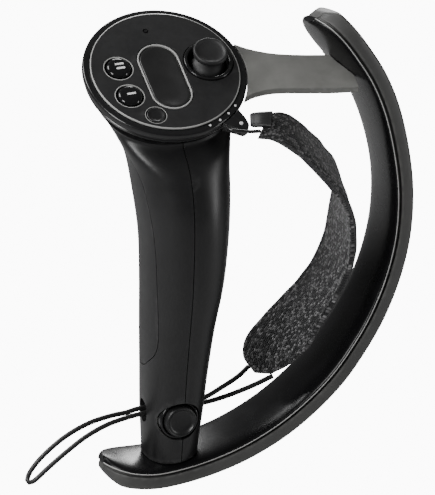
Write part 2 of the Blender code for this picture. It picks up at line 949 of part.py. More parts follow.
def make_bridge():
    # The arm from the deck's rim to the ring, in the deck's own plane.
    rim = RIM_RADIUS + GAP
    outline = []
    for i in range(15):
        angle = math.radians(-34.0 + 50.0 * i / 14)
        outline.append((rim * math.cos(angle), rim * math.sin(angle)))
    upper = ((0.0335, 0.0046), (0.0410, 0.0012), (0.0510, -0.0014), (0.0660, -0.0042))
    lower = ((0.0660, -0.0194), (0.0560, -0.0182), (0.0460, -0.0162), (0.0360, -0.0146), (0.0290, -0.0150))
    top = smooth_line([outline[-1], *upper], 5)
    bottom = smooth_line([*lower, outline[0]], 4)
    outline += [tuple(p) for p in top[1:]]
    outline += [tuple(p) for p in bottom[:-1]]
    arm = bevel(flat([outline], -0.0040, -0.0010, FACE), 0.0006)
    cut(arm, make_cutter(ring_clearance()), solver="MANIFOLD")
    finish(arm, "bridge_arm", GREY)


# --- Strap ---

# Front edge and rear edge of the strap, from the deck down to the cord end (mm).
STRAP_EDGES = (
    ((22.8, -26.8, 66.8), (29.8, -19.1, 71.4)),
    ((28.5, -27.6, 65.4), (34.6, -17.0, 70.4)),
    ((37.5, -26.0, 58.3), (40.8, -13.2, 65.2)),
    ((44.9, -24.0, 50.1), (48.7, -7.5, 56.2)),
    ((51.2, -22.0, 42.0), (55.5, -2.1, 47.3)),
    ((56.6, -20.0, 34.6), (60.8, 2.0, 39.0)),
    ((60.7, -18.0, 26.5), (63.3, 6.7, 28.8)),
    ((62.3, -17.0, 17.6), (62.5, 9.0, 17.0)),
    ((61.9, -16.0, 8.7), (60.6, 9.9, 6.9)),
    ((60.1, -15.0, 0.9), (57.1, 10.7, -1.4)),
    ((56.0, -14.0, -7.8), (51.1, 11.5, -9.7)),
    ((50.0, -13.2, -17.7), (41.9, 11.9, -18.6)),
    ((47.6, -12.0, -23.6), (32.6, 11.2, -27.6)),
    ((44.6, -9.0, -28.7), (30.0, 8.2, -33.4)),
    ((40.2, -5.2, -34.2), (31.8, 3.2, -37.4)),
    ((36.0, -2.2, -37.2), (33.2, 2.2, -38.4)),
)
STRAP_THICKNESS = 2.8
CORD_ROUTE = (
    (31.1, 6.1, -37.1),
    (26.8, 5.0, -39.8),
    (19.6, 3.4, -42.5),
    (12.0, 1.6, -44.4),
    (0.0, 1.45, -44.6),
    (-11.0, 1.6, -44.6),
    (-16.2, 1.7, -45.5),
    (-21.4, 1.9, -45.9),
    (-29.6, 2.1, -47.5),
    (-38.2, 2.2, -51.2),
    (-45.4, 2.3, -56.3),
    (-50.2, 2.3, -61.0),
    (-52.8, 1.5, -64.4),
    (-53.3, -0.4, -65.6),
    (-51.6, -2.0, -64.5),
    (-46.9, -2.3, -60.5),
    (-40.4, -2.2, -55.7),
    (-32.9, -2.0, -50.9),
    (-25.5, -1.8, -47.7),
    (-18.8, -1.7, -46.1),
    (-11.3, -1.6, -45.2),
    (0.0, -1.45, -44.9),
    (12.0, -1.7, -44.5),
    (20.0, -3.0, -42.6),
    (28.6, -4.4, -39.6),
    (36.2, -4.6, -36.9),
)


def pad_loft(edges, thickness, corner=0.35):
    # A soft band between two edge lines: rounded in section.
    middles = [(Vector(front) + Vector(rear)) / 2 for front, rear in edges]
    rings = []
    for k, (front, rear) in enumerate(edges):
        across = Vector(front) - Vector(rear)
        along = middles[min(k + 1, len(edges) - 1)] - middles[max(k - 1, 0)]
        out = along.cross(across).normalized() * thickness / 2
        half = across / 2
        ring = []
        for share, rise in ((1.0, 0.0), (0.93, 0.8), (0.6, 1.0), (0.0, 1.0), (-0.6, 1.0), (-0.93, 0.8)):
            ring.append((middles[k] + half * share + out * rise) * MM)
        for share, rise in ((-1.0, 0.0), (-0.93, 0.8), (-0.6, 1.0), (0.0, 1.0), (0.6, 1.0), (0.93, 0.8)):
            ring.append((middles[k] + half * share - out * rise) * MM)
        rings.append(ring)
    return loft(rings)


def make_strap():
    finish(pad_loft(STRAP_EDGES, STRAP_THICKNESS), "hand_strap", KNIT)

    tab = pad_loft(
        (
            ((21.3, -22.6, 69.5), (23.0, -17.5, 72.1)),
            ((24.5, -25.4, 70.2), (26.4, -19.9, 73.2)),
            ((27.4, -27.3, 70.4), (29.9, -21.7, 73.7)),
        ),
        1.8,
    )
    finish(tab, "strap_tab", RUBBER)

    rim = RIM_RADIUS + GAP
    centre = math.radians(-55.0)
    spread = math.radians(9.0)
    steps = [centre - spread + 2 * spread * i / 8 for i in range(9)]
    outline = [(rim * math.cos(a), rim * math.sin(a)) for a in steps]
    outline += [
        ((rim + 0.0040) * math.cos(a), (rim + 0.0040) * math.sin(a)) for a in steps[6:2:-1]
    ]
    nose = [((rim + 0.0072) * math.cos(a), (rim + 0.0072) * math.sin(a)) for a in steps[5:2:-1]]
    outline = outline[:10] + nose + outline[12:]
    anchor = flat([outline], -0.0050, -0.0008, FACE)
    lip_radius = RIM_RADIUS - 0.0013 + GAP
    lip = [((rim + 0.0015) * math.cos(a), (rim + 0.0015) * math.sin(a)) for a in steps[1:8]]
    lip += [(lip_radius * math.cos(a), lip_radius * math.sin(a)) for a in steps[7:0:-1]]
    tongue = make_cutter(flat([lip], -0.0046, -0.0038, FACE))
    cut(anchor, tongue, "UNION")
    finish(anchor, "strap_anchor", BLACK)

    loop = ((12.8, -20.6, 70.2), (14.6, -23.2, 69.6), (19.4, -25.8, 69.4), (23.4, -27.6, 69.7))
    finish(tube([p * MM for p in smooth_line(loop, 4)], 0.0006), "anchor_wire", STEEL)


def make_cord():
    line = evenly([p * MM for p in smooth_line(CORD_ROUTE, per_span=8)], 0.0034)
    finish(tube(line, CORD_RADIUS), "tightening_cord", CORD)


make_head()
make_buttons()
make_thumbstick()
make_handle()
make_trigger()
make_cord_lock()
make_ring()
make_bridge()
make_strap()
make_cord()
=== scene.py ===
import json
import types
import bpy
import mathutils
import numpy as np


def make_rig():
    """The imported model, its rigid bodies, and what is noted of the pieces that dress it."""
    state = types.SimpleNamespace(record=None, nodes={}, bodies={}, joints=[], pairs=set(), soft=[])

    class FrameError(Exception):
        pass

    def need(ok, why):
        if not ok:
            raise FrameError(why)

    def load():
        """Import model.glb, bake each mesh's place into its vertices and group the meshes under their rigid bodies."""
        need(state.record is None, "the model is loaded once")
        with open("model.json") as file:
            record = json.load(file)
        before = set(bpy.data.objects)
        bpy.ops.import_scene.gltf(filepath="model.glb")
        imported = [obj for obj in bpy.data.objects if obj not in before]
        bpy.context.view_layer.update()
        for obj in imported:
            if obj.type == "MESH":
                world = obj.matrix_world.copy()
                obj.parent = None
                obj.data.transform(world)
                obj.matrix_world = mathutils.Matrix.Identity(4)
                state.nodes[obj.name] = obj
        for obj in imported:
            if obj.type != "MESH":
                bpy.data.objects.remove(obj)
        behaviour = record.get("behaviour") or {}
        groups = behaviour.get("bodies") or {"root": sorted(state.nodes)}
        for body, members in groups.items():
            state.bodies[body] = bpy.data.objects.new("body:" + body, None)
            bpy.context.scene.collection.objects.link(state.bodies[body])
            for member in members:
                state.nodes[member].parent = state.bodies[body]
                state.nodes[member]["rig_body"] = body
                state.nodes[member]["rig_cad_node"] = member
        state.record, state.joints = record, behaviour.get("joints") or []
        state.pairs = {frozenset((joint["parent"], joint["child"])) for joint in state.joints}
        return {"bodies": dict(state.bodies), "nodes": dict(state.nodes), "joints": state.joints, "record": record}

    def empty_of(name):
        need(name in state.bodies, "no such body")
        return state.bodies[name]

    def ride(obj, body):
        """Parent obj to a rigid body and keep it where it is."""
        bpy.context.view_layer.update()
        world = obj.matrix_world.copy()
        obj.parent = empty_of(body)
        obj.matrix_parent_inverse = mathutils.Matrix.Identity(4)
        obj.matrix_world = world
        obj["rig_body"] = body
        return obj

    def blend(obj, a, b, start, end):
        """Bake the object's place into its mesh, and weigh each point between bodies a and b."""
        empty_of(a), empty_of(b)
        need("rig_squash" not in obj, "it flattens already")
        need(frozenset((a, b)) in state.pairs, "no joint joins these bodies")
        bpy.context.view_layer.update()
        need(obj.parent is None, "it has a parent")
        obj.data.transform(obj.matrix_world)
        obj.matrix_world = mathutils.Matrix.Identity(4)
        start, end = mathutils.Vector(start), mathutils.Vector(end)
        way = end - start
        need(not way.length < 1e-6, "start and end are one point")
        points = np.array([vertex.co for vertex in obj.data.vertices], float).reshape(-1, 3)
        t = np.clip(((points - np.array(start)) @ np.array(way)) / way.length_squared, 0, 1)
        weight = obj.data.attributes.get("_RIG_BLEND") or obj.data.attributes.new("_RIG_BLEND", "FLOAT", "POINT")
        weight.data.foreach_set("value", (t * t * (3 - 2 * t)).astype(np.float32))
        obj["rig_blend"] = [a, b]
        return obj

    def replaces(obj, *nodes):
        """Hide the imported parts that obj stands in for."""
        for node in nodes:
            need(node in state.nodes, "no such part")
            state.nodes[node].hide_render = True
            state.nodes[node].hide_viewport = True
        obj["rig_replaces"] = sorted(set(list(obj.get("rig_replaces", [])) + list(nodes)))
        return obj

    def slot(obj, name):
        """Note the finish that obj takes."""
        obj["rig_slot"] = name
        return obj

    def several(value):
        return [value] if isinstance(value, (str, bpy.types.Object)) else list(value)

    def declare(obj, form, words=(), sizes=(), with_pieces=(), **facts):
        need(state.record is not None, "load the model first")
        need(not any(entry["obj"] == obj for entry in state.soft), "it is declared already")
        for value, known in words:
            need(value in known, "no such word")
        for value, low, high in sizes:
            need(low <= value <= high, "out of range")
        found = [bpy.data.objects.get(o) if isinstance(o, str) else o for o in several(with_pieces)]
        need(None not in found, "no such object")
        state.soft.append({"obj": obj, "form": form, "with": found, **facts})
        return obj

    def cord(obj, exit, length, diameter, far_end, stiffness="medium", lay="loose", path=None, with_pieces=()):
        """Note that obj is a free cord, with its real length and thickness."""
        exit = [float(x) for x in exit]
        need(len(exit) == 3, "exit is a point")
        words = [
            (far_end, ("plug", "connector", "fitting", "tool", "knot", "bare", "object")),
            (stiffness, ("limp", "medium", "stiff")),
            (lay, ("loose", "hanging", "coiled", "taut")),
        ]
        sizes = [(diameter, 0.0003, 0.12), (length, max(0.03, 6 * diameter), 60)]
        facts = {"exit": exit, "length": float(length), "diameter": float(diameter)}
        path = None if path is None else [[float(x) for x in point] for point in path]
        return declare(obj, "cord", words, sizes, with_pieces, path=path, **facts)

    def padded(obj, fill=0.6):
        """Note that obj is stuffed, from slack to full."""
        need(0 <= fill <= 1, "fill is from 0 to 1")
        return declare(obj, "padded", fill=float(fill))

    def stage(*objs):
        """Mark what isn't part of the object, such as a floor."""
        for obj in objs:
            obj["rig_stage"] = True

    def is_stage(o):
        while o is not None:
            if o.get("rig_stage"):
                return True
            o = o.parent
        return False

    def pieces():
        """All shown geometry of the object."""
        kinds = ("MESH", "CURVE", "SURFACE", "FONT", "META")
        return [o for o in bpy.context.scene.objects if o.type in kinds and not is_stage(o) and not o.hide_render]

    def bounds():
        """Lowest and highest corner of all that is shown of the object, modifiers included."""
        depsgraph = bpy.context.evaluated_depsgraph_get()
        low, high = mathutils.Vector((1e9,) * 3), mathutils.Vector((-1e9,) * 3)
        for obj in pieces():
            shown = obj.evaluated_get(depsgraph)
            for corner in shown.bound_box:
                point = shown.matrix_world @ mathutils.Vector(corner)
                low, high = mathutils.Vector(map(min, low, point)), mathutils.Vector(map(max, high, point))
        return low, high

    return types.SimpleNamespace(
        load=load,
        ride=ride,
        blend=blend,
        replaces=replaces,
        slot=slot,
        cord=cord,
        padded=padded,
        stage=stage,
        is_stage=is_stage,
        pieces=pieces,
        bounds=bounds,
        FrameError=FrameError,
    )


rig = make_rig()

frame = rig.load()

import json
import math

import bmesh
import bpy
from mathutils import Matrix, Vector, noise

mm = 0.001
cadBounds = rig.bounds()
scene = bpy.context.scene

# The deck's own plane: a flat round face, tipped back about X.
deck = {"centre": Vector((0.0, 0.006, 0.082)), "tilt": math.radians(25.0)}
deckPlace = Matrix.Translation(deck["centre"]) @ Matrix.Rotation(deck["tilt"], 4, "X")

# Stands a flat outline up, so that its thickness runs along X.
alongX = Matrix(((0, 0, 1, 0), (1, 0, 0, 0), (0, 1, 0, 0), (0, 0, 0, 1)))


# Camera, floor and lights.

def makeCamera():
    view = {"azimuth": -20.0, "elevation": 25.0, "across": 0.17326}
    a = math.radians(view["azimuth"])
    e = math.radians(view["elevation"])
    back = Vector((math.sin(a) * math.cos(e), -math.cos(a) * math.cos(e), math.sin(e)))
    right = Vector((math.cos(a), math.sin(a), 0.0))
    up = back.cross(right)
    middle = right * 0.016276 + up * 0.014876
    data = bpy.data.cameras.new("camera")
    data.type = "ORTHO"
    data.ortho_scale = view["across"]
    data.clip_start = 0.01
    data.clip_end = 20.0
    camera = bpy.data.objects.new("camera", data)
    scene.collection.objects.link(camera)
    turn = Matrix((right, up, back)).transposed().to_4x4()
    camera.matrix_world = Matrix.Translation(middle + back) @ turn
    scene.camera = camera
    return middle


def makeFloor():
    setting = {"level": -0.34, "half": 6.0, "seen": 11.0, "shade": 0.45}
    mesh = bpy.data.meshes.new("floor")
    h = setting["half"]
    z = setting["level"]
    mesh.from_pydata([(-h, -h, z), (h, -h, z), (h, h, z), (-h, h, z)], [], [(0, 1, 2, 3)])
    floor = bpy.data.objects.new("floor", mesh)
    scene.collection.objects.link(floor)
    look = bpy.data.materials.new("paleFloor")
    look.use_nodes = True
    tree = look.node_tree
    shader = tree.nodes["Principled BSDF"]
    shader.inputs["Base Color"].default_value = (setting["shade"],) * 3 + (1.0,)
    shader.inputs["Roughness"].default_value = 0.9
    glow = tree.nodes.new("ShaderNodeEmission")
    glow.inputs["Strength"].default_value = setting["seen"]
    ray = tree.nodes.new("ShaderNodeLightPath")
    blend = tree.nodes.new("ShaderNodeMixShader")
    tree.links.new(ray.outputs["Is Camera Ray"], blend.inputs["Fac"])
    tree.links.new(shader.outputs["BSDF"], blend.inputs[1])
    tree.links.new(glow.outputs["Emission"], blend.inputs[2])
    tree.links.new(blend.outputs["Shader"], tree.nodes["Material Output"].inputs["Surface"])
    mesh.materials.append(look)
    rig.stage(floor)


def makeLight(name, place, aim, size, power, tall=None):
    data = bpy.data.lights.new(name, "AREA")
    data.energy = power
    data.size = size
    if tall is not None:
        data.shape = "RECTANGLE"
        data.size_y = tall
    light = bpy.data.objects.new(name, data)
    scene.collection.objects.link(light)
    place = Vector(place)
    light.location = place
    light.rotation_euler = (Vector(aim) - place).to_track_quat("-Z", "Y").to_euler()
    return light


def makeWorld():
    world = bpy.data.worlds.new("studio")
    world.use_nodes = True
    sky = world.node_tree.nodes["Background"]
    sky.inputs["Color"].default_value = (1.0, 1.0, 1.0, 1.0)
    sky.inputs["Strength"].default_value = 0.16
    scene.world = world


makeWorld()
middle = makeCamera()
makeFloor()
makeLight("keyLeft", (-0.85, -0.42, 0.50), middle, 0.34, 9.0, 0.60)
makeLight("topSoft", (-0.60, 0.45, 0.85), middle, 0.45, 9.0)
makeLight("stripRight", (0.85, -0.55, 0.10), middle, 0.12, 3.0, 0.8)
makeLight("rearRim", (0.35, 0.95, 0.45), middle, 0.35, 7.0)
print("camera, floor and lights")


# Shader groups that every plastic shares.

def newGroup(name, inputs, outputs):
    tree = bpy.data.node_groups.new(name, "ShaderNodeTree")
    for socket, value in inputs:
        made = tree.interface.new_socket(socket, in_out="INPUT", socket_type="NodeSocketFloat")
        made.default_value = value
    for socket, kind in outputs:
        tree.interface.new_socket(socket, in_out="OUTPUT", socket_type=kind)
    return tree, tree.nodes.new("NodeGroupInput"), tree.nodes.new("NodeGroupOutput")


def feed(tree, socket, item):
    # Sets a socket to a number, a colour or another node's output.
    if isinstance(item, bpy.types.NodeSocket):
        tree.links.new(item, socket)
    elif item is not None:
        socket.default_value = (*item, 1.0) if isinstance(item, tuple) and socket.type == "RGBA" else item


def wired(tree, kind, **inputs):
    # A new node with its inputs fed.
    node = tree.nodes.new(kind)
    for name, item in inputs.items():
        feed(tree, node.inputs[name], item)
    return node


def mathNode(tree, operation, first, second=None):
    node = tree.nodes.new("ShaderNodeMath")
    node.operation = operation
    for socket, item in zip(node.inputs, (first, second)):
        feed(tree, socket, item)
    return node.outputs[0]


def product(tree, first, second):
    return mathNode(tree, "MULTIPLY", first, second)


def spread(tree, value, fromLow, fromHigh, low, high):
    node = tree.nodes.new("ShaderNodeMapRange")
    for socket, item in zip(node.inputs, (value, fromLow, fromHigh, low, high)):
        feed(tree, socket, item)
    return node.outputs["Result"]


def noiseNode(tree, scale, detail=3.0):
    where = tree.nodes.new("ShaderNodeTexCoord").outputs["Object"]
    return wired(tree, "ShaderNodeTexNoise", Detail=detail, Roughness=0.5, Scale=scale,
                 Vector=where).outputs["Fac"]


def bumpNode(tree, height, strength, distance):
    return wired(tree, "ShaderNodeBump", Distance=distance, Strength=strength,
                 Height=height).outputs["Normal"]


def makeGrain():
    # Spark-eroded mould texture: fine pits over a slow wave, with a little wear in the sheen.
    tree, given, out = newGroup(
        "mouldGrain",
        [("Fineness", 4000.0), ("Depth", 0.2), ("Smooth", 0.35), ("Rough", 0.5)],
        [("Shade", "NodeSocketFloat"), ("Roughness", "NodeSocketFloat"), ("Normal", "NodeSocketVector")],
    )
    pits = noiseNode(tree, given.outputs["Fineness"], 2.0)
    cloud = noiseNode(tree, 55.0, 4.0)
    smudge = noiseNode(tree, 190.0, 3.0)
    both = mathNode(tree, "ADD", product(tree, cloud, 0.6), product(tree, smudge, 0.4))
    rough = spread(tree, both, 0.35, 0.65, given.outputs["Smooth"], given.outputs["Rough"])
    tree.links.new(rough, out.inputs["Roughness"])
    tree.links.new(spread(tree, both, 0.3, 0.7, 0.88, 1.12), out.inputs["Shade"])
    tree.links.new(bumpNode(tree, pits, given.outputs["Depth"], 0.00008), out.inputs["Normal"])
    return tree


def makeWear():
    # Edges that hands have polished lighter.
    tree, given, out = newGroup("edgeWear", [("Amount", 0.3)], [("Mask", "NodeSocketFloat")])
    corner = tree.nodes.new("ShaderNodeNewGeometry").outputs["Pointiness"]
    edge = spread(tree, corner, 0.515, 0.58, 0.0, 1.0)
    patch = spread(tree, noiseNode(tree, 420.0, 4.0), 0.4, 0.65, 0.2, 1.0)
    mask = product(tree, product(tree, edge, patch), given.outputs["Amount"])
    tree.links.new(mask, out.inputs["Mask"])
    return tree


def makeDust():
    # A faint film on what faces up.
    tree, given, out = newGroup("dustFilm", [("Amount", 0.05)], [("Mask", "NodeSocketFloat")])
    facing = tree.nodes.new("ShaderNodeSeparateXYZ")
    tree.links.new(tree.nodes.new("ShaderNodeNewGeometry").outputs["Normal"], facing.inputs[0])
    up = spread(tree, facing.outputs["Z"], 0.2, 1.0, 0.0, 1.0)
    spots = spread(tree, noiseNode(tree, 900.0, 5.0), 0.5, 0.75, 0.15, 1.0)
    mask = product(tree, product(tree, up, spots), given.outputs["Amount"])
    tree.links.new(mask, out.inputs["Mask"])
    return tree


groups = {"grain": makeGrain(), "wear": makeWear(), "dust": makeDust()}


def useGroup(tree, name, **values):
    node = tree.nodes.new("ShaderNodeGroup")
    node.node_tree = groups[name]
    for socket, value in values.items():
        node.inputs[socket].default_value = value
    return node


def mixColours(tree, mask, first, second):
    node = tree.nodes.new("ShaderNodeMix")
    node.data_type = "RGBA"
    for index, item in ((0, mask), (6, first), (7, second)):
        feed(tree, node.inputs[index], item)
    return node.outputs[2]


def emptyLook(name):
    look = bpy.data.materials.new(name)
    look.use_nodes = True
    return look, look.node_tree, look.node_tree.nodes["Principled BSDF"]


def finishLook(tree, shader, colour, roughness, normal, plain):
    feed(tree, shader.inputs["Base Color"], colour)
    feed(tree, shader.inputs["Roughness"], roughness)
    feed(tree, shader.inputs["Normal"], normal)
    for name, value in plain.items():
        shader.inputs[name].default_value = value


def plastic(name, colour, worn, smooth, rough, fineness=4200.0, depth=0.2, wear=0.2, dust=0.012, level=0.5,
            metal=0.0):
    look, tree, shader = emptyLook(name)
    grain = useGroup(tree, "grain", Fineness=fineness, Depth=depth, Smooth=smooth, Rough=rough)
    edge = useGroup(tree, "wear", Amount=wear)
    film = useGroup(tree, "dust", Amount=dust)
    dark = tuple(c * 0.8 for c in colour)
    light = tuple(min(c * 1.2, 1.0) for c in colour)
    shade = spread(tree, grain.outputs["Shade"], 0.88, 1.12, 0.0, 1.0)
    base = mixColours(tree, shade, dark, light)
    base = mixColours(tree, edge.outputs["Mask"], base, worn)
    base = mixColours(tree, film.outputs["Mask"], base, (0.35, 0.34, 0.32))
    finishLook(tree, shader, base, grain.outputs["Roughness"], grain.outputs["Normal"],
               {"Specular IOR Level": level, "Metallic": metal})
    return look


def knitLook():
    # Heathered knit: loops in columns along the strap, flecked light and dark, with painted shade between the loops,
    # on the strap's own map.
    setting = {"column": 0.0017, "row": 0.0011}
    look, tree, shader = emptyLook("knitFabric")
    spot = tree.nodes.new("ShaderNodeSeparateXYZ")
    tree.links.new(tree.nodes.new("ShaderNodeUVMap").outputs["UV"], spot.inputs[0])
    column = mathNode(tree, "DIVIDE", spot.outputs["Y"], setting["column"])
    wobble = noiseNode(tree, 260.0, 2.0)
    column = mathNode(tree, "ADD", column, product(tree, wobble, 0.5))
    across = mathNode(tree, "FRACT", column)
    lean = mathNode(tree, "ABSOLUTE", mathNode(tree, "SUBTRACT", across, 0.5))
    row = mathNode(tree, "DIVIDE", spot.outputs["X"], setting["row"])
    row = mathNode(tree, "ADD", row, product(tree, lean, 1.1))
    row = mathNode(tree, "ADD", row, product(tree, wobble, 0.9))
    loopAlong = mathNode(tree, "SINE", product(tree, mathNode(tree, "FRACT", row), math.pi))
    twice = mathNode(tree, "FRACT", product(tree, across, 2.0))
    loopAcross = mathNode(tree, "SINE", product(tree, twice, math.pi))
    yarn = product(tree, mathNode(tree, "POWER", loopAlong, 0.6), mathNode(tree, "POWER", loopAcross, 0.5))
    cell = tree.nodes.new("ShaderNodeCombineXYZ")
    tree.links.new(mathNode(tree, "FLOOR", row), cell.inputs[0])
    tree.links.new(mathNode(tree, "FLOOR", product(tree, column, 2.0)), cell.inputs[1])
    fleck = tree.nodes.new("ShaderNodeTexWhiteNoise")
    fleck.noise_dimensions = "2D"
    tree.links.new(cell.outputs[0], fleck.inputs["Vector"])
    heather = spread(tree, fleck.outputs["Value"], 0.45, 1.0, 0.0, 1.0)
    fine = noiseNode(tree, 5200.0, 3.0)
    colour = mixColours(tree, heather, (0.014, 0.014, 0.015), (0.30, 0.295, 0.30))
    # Colour darkens to near black where the yarn dips between loops: painted shade in the gaps.
    pale = product(tree, yarn, spread(tree, fine, 0.3, 0.7, 0.6, 1.0))
    colour = mixColours(tree, spread(tree, pale, 0.1, 0.75, 0.0, 1.0), (0.006, 0.006, 0.007), colour)
    height = mathNode(tree, "ADD", yarn, product(tree, fine, 0.25))
    finishLook(tree, shader, colour, spread(tree, fine, 0.3, 0.7, 0.75, 0.95),
               bumpNode(tree, height, 0.9, 0.00035),
               {"Sheen Weight": 0.25, "Sheen Roughness": 0.5, "Specular IOR Level": 0.25})
    return look


def cordLook():
    # A fine braid: two sets of crossing strands over the cord.
    look, tree, shader = emptyLook("cordBraid")
    where = tree.nodes.new("ShaderNodeTexCoord").outputs["Object"]
    heights = []
    for lean in (52.0, -52.0):
        turn = tree.nodes.new("ShaderNodeMapping")
        turn.inputs["Rotation"].default_value = (0.0, math.radians(lean), math.radians(lean))
        tree.links.new(where, turn.inputs["Vector"])
        wave = tree.nodes.new("ShaderNodeTexWave")
        wave.inputs["Scale"].default_value = 520.0
        wave.inputs["Distortion"].default_value = 0.6
        tree.links.new(turn.outputs["Vector"], wave.inputs["Vector"])
        heights.append(wave.outputs["Fac"])
    braid = mathNode(tree, "MAXIMUM", heights[0], heights[1])
    # Darker in the dips between the strands: painted shade.
    colour = mixColours(tree, braid, (0.006, 0.006, 0.006), (0.009, 0.009, 0.009))
    roughness = spread(tree, noiseNode(tree, 3000.0), 0.3, 0.7, 0.34, 0.46)
    finishLook(tree, shader, colour, roughness, bumpNode(tree, braid, 0.20, 0.00003),
               {"Sheen Weight": 0.05})
    return look


finishes = {
    # name, colour, worn edge, smoothest, roughest, grain fineness, depth, wear, dust, specular, metallic
    "shell": ("blackShell", (0.0125, 0.0125, 0.013), (0.10, 0.10, 0.10), 0.42, 0.50, 4600.0, 0.14),
    "rim": ("blackRim", (0.008, 0.008, 0.0085), (0.22, 0.22, 0.22), 0.18, 0.25, 5200.0, 0.06, 0.08),
    "satin": ("blackSatin", (0.0095, 0.0095, 0.010), (0.09, 0.09, 0.09), 0.33, 0.40, 5200.0, 0.10, 0.25),
    "ringInner": ("ringInnerBlack", (0.005, 0.005, 0.0055), (0.10, 0.10, 0.10), 0.24, 0.29, 5200.0, 0.06,
                  0.05, 0.0,
                         0.25),
    "pad": ("padSatin", (0.016, 0.016, 0.016), (0.10, 0.10, 0.10), 0.26, 0.36, 6000.0, 0.10, 0.1),
    "gloss": ("blackGloss", (0.004, 0.004, 0.0045), (0.08, 0.08, 0.08), 0.06, 0.12, 3000.0, 0.02, 0.15,
              0.02),
    "grey": ("bridgeGrey", (0.170, 0.170, 0.160), (0.30, 0.30, 0.29), 0.40, 0.50, 5200.0, 0.15, 0.5),
    "ringGrey": ("ringGrey", (0.060, 0.060, 0.058), (0.26, 0.26, 0.25), 0.46, 0.58, 3600.0, 0.30, 0.5),
    # painted highlight: light grey for thin edge lines and beads where edges catch the light
    "line": ("paintedHighlightLine", (0.42, 0.42, 0.41), (0.4, 0.4, 0.4), 0.25, 0.35, 5200.0, 0.05, 0.1),
    "rubber": ("blackRubber", (0.014, 0.014, 0.0145), (0.07, 0.07, 0.07), 0.50, 0.62, 3200.0, 0.35, 0.25,
               0.015),
    "white": ("whiteMark", (0.86, 0.86, 0.85), (0.9, 0.9, 0.9), 0.35, 0.45, 3000.0, 0.05, 0.0, 0.0),
    "steel": ("plainSteel", (0.50, 0.50, 0.51), (0.7, 0.7, 0.7), 0.25, 0.38, 2500.0, 0.10, 0.2, 0.02, 0.5,
              1.0),
    "board": ("circuitGreen", (0.01, 0.09, 0.04), (0.10, 0.2, 0.1), 0.35, 0.5, 2500.0, 0.2),
    "copper": ("flexCopper", (0.55, 0.30, 0.12), (0.7, 0.5, 0.3), 0.3, 0.42, 2500.0, 0.1, 0.1, 0.02, 0.5,
               1.0),
    "cell": ("cellWrap", (0.04, 0.10, 0.30), (0.2, 0.3, 0.5), 0.3, 0.4, 2500.0, 0.1),
    "tab": ("tabRubber", (0.0055, 0.0055, 0.006), (0.06, 0.06, 0.06), 0.36, 0.44, 4200.0, 0.12, 0.15,
            0.004, 0.3),
    "thread": ("hemThread", (0.055, 0.055, 0.058), (0.12, 0.12, 0.12), 0.75, 0.9, 3000.0, 0.3, 0.0, 0.03,
               0.3),
}
looks = {key: plastic(*values) for key, values in finishes.items()}
looks["knit"] = knitLook()
looks["cord"] = cordLook()
print("materials:", len(looks))


# Shaping tools.

def smoothLine(points, perSpan=8, closed=False):
    # A Catmull-Rom curve through the points.
    points = [Vector(p) for p in points]
    count = len(points)
    line = []
    for k in range(count if closed else count - 1):
        if closed:
            a, b, c, d = (points[(k + i) % count] for i in (-1, 0, 1, 2))
        else:
            b, c = points[k], points[k + 1]
            a = points[k - 1] if k else b * 2 - c
            d = points[k + 2] if k + 2 < count else c * 2 - b
        for i in range(perSpan):
            t = i / perSpan
            line.append(0.5 * (b * 2 + (c - a) * t + (a * 2 - b * 5 + c * 4 - d) * t * t
                               + (b * 3 - a - c * 3 + d) * t * t * t))
    if not closed:
        line.append(points[-1])
    return line


def lineLengths(line):
    lengths = [0.0]
    for a, b in zip(line, line[1:]):
        lengths.append(lengths[-1] + (b - a).length)
    return lengths


def evenLine(line, step):
    lengths = lineLengths(line)
    count = max(2, round(lengths[-1] / step))
    even = []
    k = 0
    for i in range(count + 1):
        along = lengths[-1] * i / count
        while k < len(line) - 2 and lengths[k + 1] < along:
            k += 1
        share = (along - lengths[k]) / (lengths[k + 1] - lengths[k])
        even.append(line[k].lerp(line[k + 1], share))
    return even


def filleted(points, radius, closed=False, steps=4):
    # Rounds each corner of a flat outline, as far as its sides allow.
    points = [Vector(p) for p in points]
    count = len(points)
    out = []
    for k, corner in enumerate(points):
        if not closed and k in (0, count - 1):
            out.append(corner)
            continue
        before = points[k - 1]
        after = points[(k + 1) % count]
        reach = min(radius, (before - corner).length * 0.45, (after - corner).length * 0.45)
        start = corner + (before - corner).normalized() * reach
        stop = corner + (after - corner).normalized() * reach
        for i in range(steps + 1):
            t = i / steps
            out.append(start * (1 - t) ** 2 + corner * 2 * t * (1 - t) + stop * t * t)
    return out


def circleLine(radius, centre=(0.0, 0.0), count=96):
    return [(centre[0] + radius * math.cos(2 * math.pi * i / count),
             centre[1] + radius * math.sin(2 * math.pi * i / count)) for i in range(count)]


def stadiumLine(width, length, centre=(0.0, 0.0), count=28):
    radius = width / 2
    straight = length / 2 - radius
    points = []
    for side, start in ((1, 0.0), (-1, math.pi)):
        for i in range(count + 1):
            angle = start + math.pi * i / count
            points.append((centre[0] + radius * math.cos(angle),
                           centre[1] + side * straight + radius * math.sin(angle)))
    return points


def deckPoint(x, y, height=0.0):
    return deckPlace @ Vector((x, y, height))


def onDeck(x, y, height=0.0):
    return deckPlace @ Matrix.Translation((x, y, height))


def toMesh(shape, name, place=None, sharp=38.0):
    bmesh.ops.remove_doubles(shape, verts=shape.verts, dist=0.0000005)
    bmesh.ops.recalc_face_normals(shape, faces=shape.faces)
    mesh = bpy.data.meshes.new(name)
    shape.to_mesh(mesh)
    shape.free()
    if place is not None:
        mesh.transform(place)
    mesh.shade_smooth()
    mesh.set_sharp_from_angle(angle=math.radians(sharp))
    return mesh


